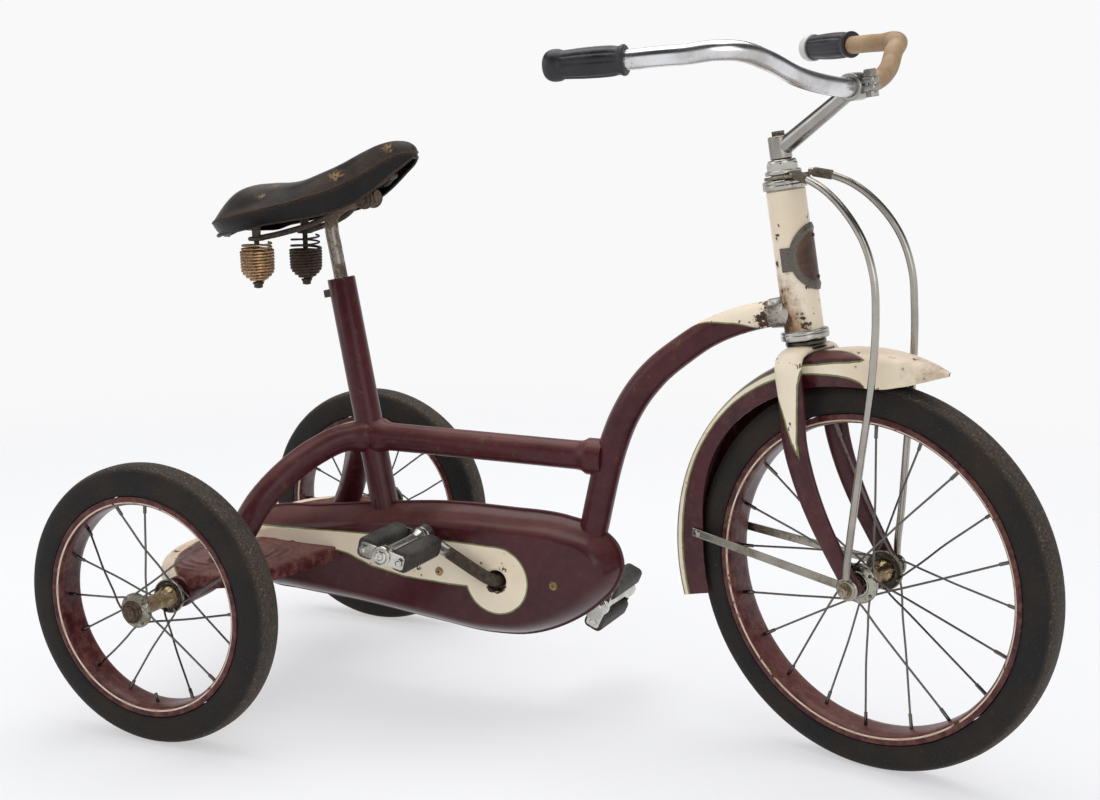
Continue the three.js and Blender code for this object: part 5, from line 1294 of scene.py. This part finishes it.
def girth(reach):
    """Length in mm from the fender's crown down its section, which is the curve of fender_grid."""
    k = np.linspace(0, 1, 400)
    out = 27 * np.minimum(1, 1.28 * np.sin(k * math.pi / 2 * 0.86))
    down = 33 * (1 - np.sqrt(1 - k ** 2.3)) * (0.86 + 0.14 * k ** 8)
    return np.interp(reach, k, np.r_[0, np.cumsum(np.hypot(np.diff(out), np.diff(down)))])


def fender_cream(angle, k):
    """20 plus the depth inside the cream: a stripe each side, and all of the nose but for an island."""
    reach = girth(np.abs(k)[None])
    stops = [-194, -150, -130, -117, -102, -93, -88]
    upper, lower = (girth(np.interp(-angle, stops, reaches)) for reaches in (
        [0.70, 0.70, 0.69, 0.72, 0.83, 0.80, 0.73], [0.80, 0.80, 0.81, 0.86, 0.94, 0.97, 1.00]))
    stripe = np.minimum(reach - upper, lower - reach) + 6 * unit((90 - angle) / 4)
    inner = girth(np.interp(-angle, [-104, -102, -97, -93, -90, -88, -86],
                            [0.0, 0.12, 0.28, 0.42, 0.58, 0.72, 1.0]))
    nose = inner - reach - np.maximum(angle - 104, 0) * 4.0 + 20 * unit((88 - angle) / 3)
    return np.clip(20 + np.maximum(stripe, nose), 0, 40)


outer, angle, k = fender_grid(0.0)
inner = fender_grid(fender_gauge)[0]
plain = np.zeros((len(angle), len(k)))
rust_edge = plain + 0.2 * unit((np.abs(k) - 0.97) / 0.03)
fender_fields = {"cream": (fender_cream(angle, k), plain), "worn": (rust_edge, plain + 0.3),
                 "stain": (plain + 0.4 * unit((90 - angle) / 16), plain)}
fender = skin(np.concatenate([outer, inner[:, ::-1]], axis=1), ends="strip")
piece("mudguard", [fender], "steering", fender_paint, ["front_fender"], crease=50,
      fields={name: np.concatenate(halves, axis=1) for name, halves in fender_fields.items()})
flat_steel = metal("stay_steel", 0.3, (156, 152, 142), 21.0, rusts=((90, 78, 62), (134, 118, 96)))
stay_ring = [(5.3, 44.8), (8.8, 44.8), (9.5, 45.4), (9.5, 46.2), (8.8, 46.8), (5.3, 46.8)]
lean = math.radians(rake)
tab_forward = hub_forward - 202 * math.cos(lean) + 21 * math.sin(lean)
tab_up = hub_up + 202 * math.sin(lean) + 21 * math.cos(lean)
for side, s in sides:
    tab, foot = np.array([tab_forward, s * 28.6, tab_up]), np.array([hub_forward, s * 45.7, hub_up])
    bar = sweep(steered(np.linspace(tab, foot, 24)), 1.0, 28, front_axis, (4.6, 1.0), 0.35)
    screw = steered(tab + (foot - tab) * 0.035) + s * 0.8 * front_axis
    head = spun([(0, 0), (4.2, 0), (4.0, 1.0), (2.6, 2.0), (0, 2.3)], screw, s * front_axis, 24)
    piece("fender_strip_" + side, [bar, hoop(stay_ring, 0.3, front_hub_at, s * front_axis, 40), head],
          "steering", flat_steel, ["fender_stay_" + side])

# ---------------------------------------------------------------------------------------
# Stem. A straight quill with an expander bolt, and a tapered extension that reaches forward to
# a split clamp round the handlebar. It is plated and has dulled to grey.

stem_chrome = metal("stem_plating", 0.14, (160, 158, 154), 22.0)
clamp_at = np.array([93.0, 0.0, 232.0])


def ahead(x, y, z):
    """A place given from the middle of the handlebar clamp in the fork's own frame."""
    return steered(clamp_at + (x, y, z))


quill_top = 197.0
quill = soften([(0, 88), (9.8, 88), (9.8, 173.6), (11.2, 174.6), (11.2, quill_top - 1.2), (10.0, quill_top),
                (0, quill_top)], 0.8)
extension = smooth_line(steered(np.array([[2, 0, 184], [28, 0, 197.5], [56, 0, 212], [86, 0, 227.5]])), 40)
collar = [(9.8, -11), (12.6, -11), (13.5, -10), (13.5, 10), (12.6, 11), (9.8, 11)]
stem_parts = [spun(quill, head_at, steer_axis),
              sweep(extension, np.linspace(9.2, 7.7, 40), 36, front_axis),
              hoop(collar, 0.8, steered(clamp_at), front_axis, 56)]
ear = np.array([steered((15.5 + x, y, 0)) - head_at for x, y in block_outline(10, 6.6, 3.2, 6)])
for low, high in ((1.0, 6.4), (-6.4, -1.0)):
    stem_parts.append(slab(ear, ahead(0, 0, low), ahead(0, 0, high), 1.0))
piece("stem_body", stem_parts, "stem", stem_chrome, ["stem"])
bolt_steel = metal("bolt_steel", 0.4, (128, 122, 114), 23.0)
piece("expander_bolt", [rounded(steered((0, 0, 90)), steered((0, 0, 197)), 3.5),
                        hexagon(steered((0, 0, quill_top)), steered((0, 0, 202)), 12, 0.7, 10),
                        spun([(0, 74), (7.6, 74), (9.3, 86), (0, 86)], head_at, steer_axis, 32)],
      "stem", bolt_steel, ["stem_bolt"])
piece("pinch_bolt", [rounded(ahead(18.5, 0, -12), ahead(18.5, 0, 14), 3.0),
                     hexagon(ahead(18.5, 0, 7), ahead(18.5, 0, 14), 11.4, 0.7, 20),
                     hexagon(ahead(18.5, 0, -12.4), ahead(18.5, 0, -7), 11.4, 0.7, 5)],
      "stem", metal("pinch_steel", 0.25, (150, 148, 144), 24.0), ["clamp_bolt"])

# ---------------------------------------------------------------------------------------
# Handlebar. One plated tube bent up and back to both grips. The right half still shines, with
# pin rust toward the grip, and the left half is tan with stain.


def bar_plating():
    """Bright plating with pin rust, under a tan stain where the field called stain is 1."""
    material, tree = blank_material("bar_plating")
    coat = use(tree, plating, {
        "Rust": attribute(tree, "worn") * 0.42 - 0.06, "Shift": 25.0, "Metal": linear(222, 222, 224),
        "Dark Rust": linear(112, 84, 70), "Light Rust": linear(170, 134, 112)})
    old = use(tree, grime, {"Patch Scale": 30.0, "Speck Scale": 320.0})
    tan = tint(ramp(old["Patches"], 0.3, 0.7), (176, 148, 112), (146, 114, 78))
    tan = tint(ramp(old["Specks"], 0.58, 0.72, 0.0, 0.6), tan, (104, 76, 50))
    covered = ramp(attribute(tree, "stain") + (old["Patches"] * 0.5 - 0.25), 0.45, 0.55)
    colour, rough = tint(covered, coat["Colour"], tan), covered * 0.36 + coat["Rough"]
    shine = coat["Metallic"] * (covered * -1.0 + 1.0)
    return finished(material, colour, rough, coat["Height"], 0.0003, metallic=shine)


bar_radius, bar_half = 9.5, 224.0
bar_knots = np.array([
    # behind and above the clamp in millimetres, out to the side in shares of the half width
    [-179, 1, 59], [-146, 0.9487, 55.75], [-113, 0.8973, 52.5], [-81, 0.844, 50], [-62, 0.81, 48.2],
    [-39, 0.75, 47.5], [-24, 0.674, 43.8], [-16, 0.533, 32.5], [-8, 0.378, 15], [-1, 0.2054, 4],
    [0, 0.1071, 0.8]])
bar_side = clamp_at + bar_knots * (1, bar_half, 1)
bend_back = np.exp(-((bar_knots[:, 1] - 0.7) / 0.22) ** 2)[:, None] * (-7, 0, -1)
left_side = bar_side + bend_back  # the left half has been knocked back a little
bar_line = smooth_line(steered(np.vstack([bar_side * (1, -1, 1), clamp_at, left_side[::-1]])), 320)


def bar_stain(p):
    """1 on the left half of the bar, out from the clamp."""
    return unit((in_fork(p)[1] - 14) / 20)


def bar_rust(p):
    """Pin rust that grows toward the right grip."""
    return unit((-in_fork(p)[1] - 165) / 45)


piece("bar_tube", [sweep(bar_line, bar_radius, 40)], "handlebar", bar_plating(), ["handlebar"],
      fields={"stain": bar_stain, "worn": bar_rust})

# ---------------------------------------------------------------------------------------
# Grips. Moulded black rubber sleeves pushed onto the bar, with soft lengthwise flutes between
# a ball end and a flange. The end of the left one has bleached pale.


def grip_rubber():
    """Smooth black rubber with a faint bloom, bleached where the field called pale is 1."""
    material, tree = blank_material("grip_rubber")
    old = use(tree, grime, {"Patch Scale": 45.0, "Speck Scale": 600.0})
    colour = tint(ramp(old["Patches"], 0.35, 0.7), (27, 25, 29), (43, 40, 45))
    colour = tint(old["Dust"] * 0.35, colour, (104, 102, 100))
    colour = tint(attribute(tree, "pale"), colour, (214, 213, 208))
    rough = ramp(old["Patches"], 0.3, 0.7, 0.34, 0.52)
    return finished(material, colour, rough, old["Specks"], 0.00015, specular=0.45)


grip_paint = grip_rubber()
turn_by = 2 * math.pi * np.arange(120) / 120
flute = 0.9 * np.abs(np.cos(turn_by * 5.5))[None] ** 0.7 - 0.6
grip_ball = [[0.6, -9.8], [7.0, -9.4], [12.0, -7.0], [14.6, -2.4], [15.1, 2.5], [14.6, 6.8], [13.3, 10.2],
             [13.3, 14.0], [14.0, 28.0], [14.3, 42.0], [13.9, 58.0]]
for side, s in sides:
    inner_end = ahead(-113, s * bar_half * 0.8973, 52.5)
    outer_end = ahead(-181, s * (bar_half + 0.7), 59.2)
    length = norm(inner_end - outer_end)
    one, two, along = across(inner_end - outer_end)
    flange = [[13.3, -7.0], [13.7, -5.6], [14.3, -4.6], [14.3, -2.2], [13.4, -1.2], [11.5, -1.0], [9.7, -1.0]]
    profile = smooth_line(grip_ball + [[r, length + run] for r, run in flange], 110)
    run = profile[:, 1:]
    radius = profile[:, :1] + unit((run - 8) / 5) * unit((length - 7 - run) / 4) * flute
    ring = np.cos(turn_by)[:, None] * one + np.sin(turn_by)[:, None] * two
    grid = outer_end + radius[..., None] * ring[None] + run[..., None] * along
    sleeve = skin(grid, ends="fan", first=outer_end - 9.7 * along, last=outer_end + (length - 2.0) * along)
    fade = unit((8 - profile[:, 1]) / 3) * (s > 0)
    piece("grip_sleeve_" + side, [sleeve], "handlebar", grip_paint, ["grip_" + side], crease=60,
          fields={"pale": np.r_[np.repeat(fade, 120), fade[0], fade[-1]]})

# ---------------------------------------------------------------------------------------
# Seat post and clamp. A bent steel pillar slides in the seat tube, held by a square-headed
# bolt. The saddle's hinge barrel rides on its upper end, between two nuts.

post_steel = metal("post_steel", 0.32, (126, 122, 116), 30.0, rusts=((78, 62, 48), (122, 102, 80)))
post_radius = 7.8
post_top = on_seat(409)
post_knots = [on_seat(211), on_seat(290), on_seat(331), on_seat(366), on_seat(385), on_seat(399) + (3, 0, 2),
              on_seat(405) + (14, 0, 6), post_top + (42, 0, 12), post_top + (66, 0, 16)]
post_line = smooth_line(post_knots, 120)


def post_rust(p):
    """Brown near the mouth of the seat tube and on the bend."""
    height = (p - seat_foot) @ seat_direction
    return 0.2 * np.exp(-((height - 338) / 9) ** 2) + 0.5 * unit((height - 385) / 14)


piece("post_bar", [sweep(post_line, post_radius, 36)], "seat_post", post_steel, ["seat_post"],
      fields={"worn": post_rust})
bolt_out = np.cross(seat_direction, leftward)
bolt_out *= -np.sign(bolt_out[0])
bolt_base = on_seat(316)
square = np.array([y * leftward + z * seat_direction for y, z in block_outline(4.4, 4.4, 0.9, 4)])
piece("post_bolt", [rounded(bolt_base + 8.6 * bolt_out, bolt_base + 21 * bolt_out, 2.9),
                    slab(square, bolt_base + 16.6 * bolt_out, bolt_base + 24.2 * bolt_out, 1.2)],
      "frame", rusty_steel, ["seat_bolt"])
pivot = post_top + (54, 0, 14)


def on_saddle(x, y, z):
    """A place given from the saddle's hinge."""
    return pivot + (x, y, z)


hinge_half = [(7.9, -12), (10.6, -12), (11.5, -11), (11.5, -8.5), (10.4, -7.5)]
clamp_parts = [hoop(mirrored(np.array(hinge_half)), 0.5, pivot, leftward)]
for s in (-1, 1):
    clamp_parts += [rounded(on_saddle(0, s * 9.8, 0), on_saddle(0, s * 22.6, 0), 3.2, 0.6, 20),
                    hexagon(on_saddle(0, s * 16.3, 0), on_saddle(0, s * 21.1, 0), 10.8, 0.6, 15 + 20 * s)]
piece("hinge_barrel", clamp_parts, "seat_post", rusty_steel, ["saddle_clamp"])

# ---------------------------------------------------------------------------------------
# Saddle frame. Bent wire rails run from the nose past two eyes at the hinge to the springs.
# All of it is bare steel, brown with rust.

frame_steel = metal("saddle_frame_steel", 0.6, (88, 80, 72), 31.0, 0.0004, ((48, 40, 34), (86, 72, 58)))
spring_at, spring_out = -118.4, 50.0
spring_low = {"right": -92.0, "left": -99.0}  # foot of each barrel, from the hinge

rail_parts = [rounded(on_saddle(30, -8, 26), on_saddle(30, 8, 26), 4.5, 1, 24),
              rounded(on_saddle(30, 0, 26), on_saddle(30, 0, 54), 4.0, 1, 24)]
rail_knots = np.array([[30, 6, 26], [20, 9, 18], [2, 17, 13.5], [-14, 19.6, 7], [-40, 23, -18],
                       [-92.4, 36, -38], [spring_at, spring_out, -44]])
eye_ring = [(3.5, 12.4), (8.6, 12.4), (9.5, 13.0), (9.5, 15.2), (8.6, 15.8), (3.5, 15.8)]
tab = np.array([(x, 0, z) for x, z in block_outline(5.4, 6.4, 1.6, 4) + (0, 7)])
for side, s in sides:
    rail_parts += [sweep(smooth_line(pivot + rail_knots * (1, s, 1), 90), 3.4, 20, (0.12, 0.2, 1.0)),
                   hoop(eye_ring, 0.3, pivot, (0, s, 0), 36),
                   slab(tab, on_saddle(0, s * 12.5, 0), on_saddle(0, s * 15.7, 0))]
    low, foot = spring_low[side], on_saddle(spring_at, s * spring_out, 0)
    for start, end, radius, soft, around in (
            (-46, -42, 9.5, 1.2, 40), (-46, -2, 5.0, 1.0, 24), (low - 8, -44, 3.0, 0.8, 20),
            (low - 3.6, low - 0.8, 6.4, 1.2, 24)):
        rail_parts.append(rounded(foot + (0, 0, start), foot + (0, 0, end), radius, soft, around))
    rail_parts.append(hexagon(foot + (0, 0, low - 7.4), foot + (0, 0, low - 3.4), 8.6, 0.6, 10))
piece("saddle_rails", rail_parts, "saddle", frame_steel, ["saddle_frame"])

# ---------------------------------------------------------------------------------------
# Saddle springs. Each is one wire wound tight into an acorn-shaped barrel that closes in at
# the foot, with a few open turns above. They have rusted to gold, and the far one is darkened
# to brown with painted shade.

near_spring = metal("spring_gold", 0.5, (178, 146, 112), 32.0, rusts=((88, 64, 44), (164, 128, 92)))
# painted shade: the far spring is a darker brown copy of the near one's rusty gold, on top of a little more
# rust
far_spring_shaded = metal("spring_brown", 0.7, (80, 60, 46), 33.0, rusts=((46, 34, 28), (84, 62, 46)))
barrel_turns, open_turns, wire_step = 10.0, 2.2, 3.42
turn_at = np.linspace(0, barrel_turns + open_turns, 620)
rise = unit(turn_at / barrel_turns)
opened = unit((turn_at - barrel_turns) / 0.8)
radius = 5.0 + 12.4 * np.sin(unit(rise / 0.42) * math.pi / 2) ** 0.9 + 0.9 * unit(rise - 0.42) - 1.6 * opened
angle = 2 * math.pi * turn_at
for (side, s), paint in zip(sides, (near_spring, far_spring_shaded)):
    barrel_top = spring_low[side] + wire_step * barrel_turns
    pitch = (-49.0 - barrel_top) / open_turns
    rise = np.where(turn_at < barrel_turns, wire_step, pitch) * (turn_at - barrel_turns)
    helix = np.column_stack([radius * np.cos(angle), radius * np.sin(angle), barrel_top + rise])
    line = on_saddle(spring_at, s * spring_out, 0) + helix
    piece("coil_" + side, [sweep(line, 1.75 - 0.55 * opened, 10, (0.0, 0.0, 1.0))], "saddle", paint,
          ["saddle_spring_" + side], crease=70)

# ---------------------------------------------------------------------------------------
# Saddle leather. A padded black leather top sewn to a side skirt along a piped seam. It has
# crazed and scuffed, and yellow padding shows through where the top has worn. The skirt under
# the seam is darkened with painted shade.

saddle_stations = [
    # forward of the hinge, then top, seam and skirt above it, and half width
    [-184.5, -35, -36.5, -38, 8], [-183, -27, -31, -41, 22], [-179, -19, -29, -43, 45],
    [-168, -4, -25.5, -43, 62], [-153, 11, -20.5, -39, 73], [-129, 14.5, -15.5, -34, 79],
    [-103, 16.5, -9.5, -28, 76], [-77, 20, -3.5, -23.5, 62],
    [-51, 30, 5, -19, 46], [-27, 40.5, 13, -13, 34], [-3, 52, 24, -3, 27], [19, 61, 36, 11, 22.5],
    [39, 64.5, 46.5, 27, 18], [54, 62, 52, 39, 13], [60.5, 57.5, 52, 45.5, 7.5], [62, 53, 51, 48.5, 3.0]]
leather_gauge = 3.2


def saddle_grid(rows=240):
    """The saddle's skin as rows across it, from the right skirt over the top to the left, and its inside.

    Over the top, with t from -1 to 1: the side reaches |t| ** 0.92 of the half width, and the height
    falls from the ridge to the seam as |t| ** 2.4. Under the seam the skirt draws in and down.
    """
    track = smooth_line(saddle_stations, rows)
    x, top, seam, skirt, half = (track[:, i:i + 1] for i in range(5))
    t = np.sin(np.linspace(-1, 1, 81) * math.pi / 2)[None]
    y_top = half * np.sign(t) * np.abs(t) ** 0.92
    z_top = seam + (top - seam) * (1 - np.abs(t) ** 2.4)
    drop = np.linspace(0.0, 1.0, 15)[1:][None]
    tuck = np.minimum(0.16 * half, np.maximum(1, -0.14 * (x + 25))) / half
    bulge = np.sin(drop * math.pi) * 0.025 - tuck * drop ** 1.4
    y_side = half * (1 + bulge)
    z_side = seam + (skirt - seam) * drop
    y = np.concatenate([-y_side[:, ::-1], y_top, y_side], axis=1)
    z = np.concatenate([z_side[:, ::-1], z_top, z_side], axis=1)
    dimple = 0.7 * np.sin(x / 17 + y / 23) * np.sin(y / 13 - x / 29) * unit(half / 40)
    z = z + dimple * unit(1 - np.abs(y) / (half + 1))
    tail = unit((-140 - x) / 34)
    forward = np.concatenate([tail * drop[:, ::-1] ** 2, 0 * y_top, tail * drop ** 2], axis=1)
    x = x + 15.0 * forward
    outer = np.stack([x, y, z], -1)
    squeeze = 1 - leather_gauge / np.maximum(half, leather_gauge * 1.3)
    low = np.minimum(leather_gauge, 0.45 * (top - skirt))
    inner = np.stack([x, y * squeeze, np.maximum(z - low, skirt + 0.2 * (z > skirt + 1))], -1)
    return outer, inner, track


def saddle_leather():
    """Black leather, crazed and dusty, with yellow padding where the field called bare is 1, and painted
    shade on the skirt where the field called under is 1.
    """
    material, tree = blank_material("crazed_leather")
    where = node(tree, "ShaderNodeTexCoord").outputs["Object"]
    old = use(tree, grime, {"Patch Scale": 26.0, "Speck Scale": 480.0})
    grain, cracks = (Signal(node(tree, "ShaderNodeTexVoronoi", {"Vector": where, "Scale": scale},
                                 feature="DISTANCE_TO_EDGE").outputs["Distance"]) for scale in (420.0, 95.0))
    crazed = ramp(cracks, 0.05, 0.0) * ramp(old["Patches"], 0.5, 0.65)
    colour = tint(ramp(old["Patches"], 0.35, 0.68), (29, 24, 23), (58, 48, 43))
    colour = tint(old["Dust"] * 0.12, colour, (104, 90, 78))
    colour = tint(crazed * 0.25, colour, (84, 70, 54))
    # painted shade: the skirt below the seam is darkened towards near black where it turns down, away from
    # the light
    colour = tint(attribute(tree, "under") * 0.85, colour, (14, 12, 12))
    scuff = attribute(tree, "rubbed") * ramp(old["Specks"], 0.42, 0.62)
    colour = tint(scuff, colour, (86, 66, 48))
    ragged = attribute(tree, "bare") + (noise(where, 300.0, 5.0, 0.8) * 3.4 - 1.75)
    through = ramp(ragged, 0.5, 0.8)
    height = ramp(grain, 0.0, 0.16) * 0.35 + (through.step("MAXIMUM", crazed) * -0.6 + 0.6)
    rough = ramp(old["Patches"], 0.3, 0.7, 0.28, 0.44) + through.step("MAXIMUM", scuff) * 0.35
    colour = tint(through * 0.62, colour, (180, 144, 96))
    return finished(material, colour, rough, height, 0.0004, specular=0.24)


def bare_spots(p):
    """1 at the middle of each worn-through spot, falling off with distance."""
    off = p - pivot
    spots = [(-106, -27, 14, 11, 7), (-106, -56, 7, 9, 6), (-142, -20, 12, 10, 9), (-26, -26, 29, 12, 6),
             (33, -12, 55.5, 9, 5), (-150, 30, 8, 9, 9), (-60, 24, 20, 8, 6)]
    share = [1 - np.hypot(np.hypot((off[:, 0] - x) / a, (off[:, 1] - y) / b), (off[:, 2] - z) / 30) / 1.5
             for x, y, z, a, b in spots]
    return unit(np.max(share, axis=0))


outer, inner, track = saddle_grid()
leather_shell = skin(np.concatenate([outer, inner[:, ::-1]], axis=1) + pivot, ends="strip")


def near_seam(p):
    """1 along the seam, where handling has browned the leather, by height from it."""
    off = p - pivot
    seam, half = (np.interp(off[:, 0], track[:, 0], track[:, i]) for i in (2, 4))
    return unit(1 - np.abs(off[:, 2] - seam) / 5) * (np.abs(off[:, 1]) > half - 6)


def skirt_painted_shade(p):
    """1 on the skirt below the seam, by height under it: where the leather gets its painted shade."""
    off = p - pivot
    return unit((np.interp(off[:, 0], track[:, 0], track[:, 2]) - off[:, 2] - 0.8) / 1.5)


def both_sides(half):
    """A line down the right side and back up the left, closed, placed from the saddle's hinge."""
    loop = np.vstack([half * (1, -1, 1), half[::-1]])
    return np.vstack([loop, loop[:1]]) + pivot


leather = saddle_leather()
pad = piece("leather_top", [leather_shell], "saddle", leather, ["saddle_leather"], crease=70,
            fields={"bare": bare_spots, "rubbed": near_seam, "under": skirt_painted_shade})
seam_track = smooth_line(saddle_stations[1:-1], 300)
seam = seam_track[:, [0, 4, 2]] * (1, 1.006, 1) + (0, 0, -0.4)
hem = seam_track[:, [0, 4, 3]] + (0, 0, 0.6)
hem[:, 1] -= np.minimum(0.16 * hem[:, 1], np.maximum(1, -0.14 * (hem[:, 0] + 25)))
piping = [sweep(both_sides(seam), 1.0, 12, (0.0, 0.0, 1.0)), sweep(both_sides(hem), 1.5, 10, (0.0, 0.0, 1.0))]
piece("leather_piping", piping, "saddle", leather, fields={"rubbed": lambda p: np.full(len(p), 0.5)})
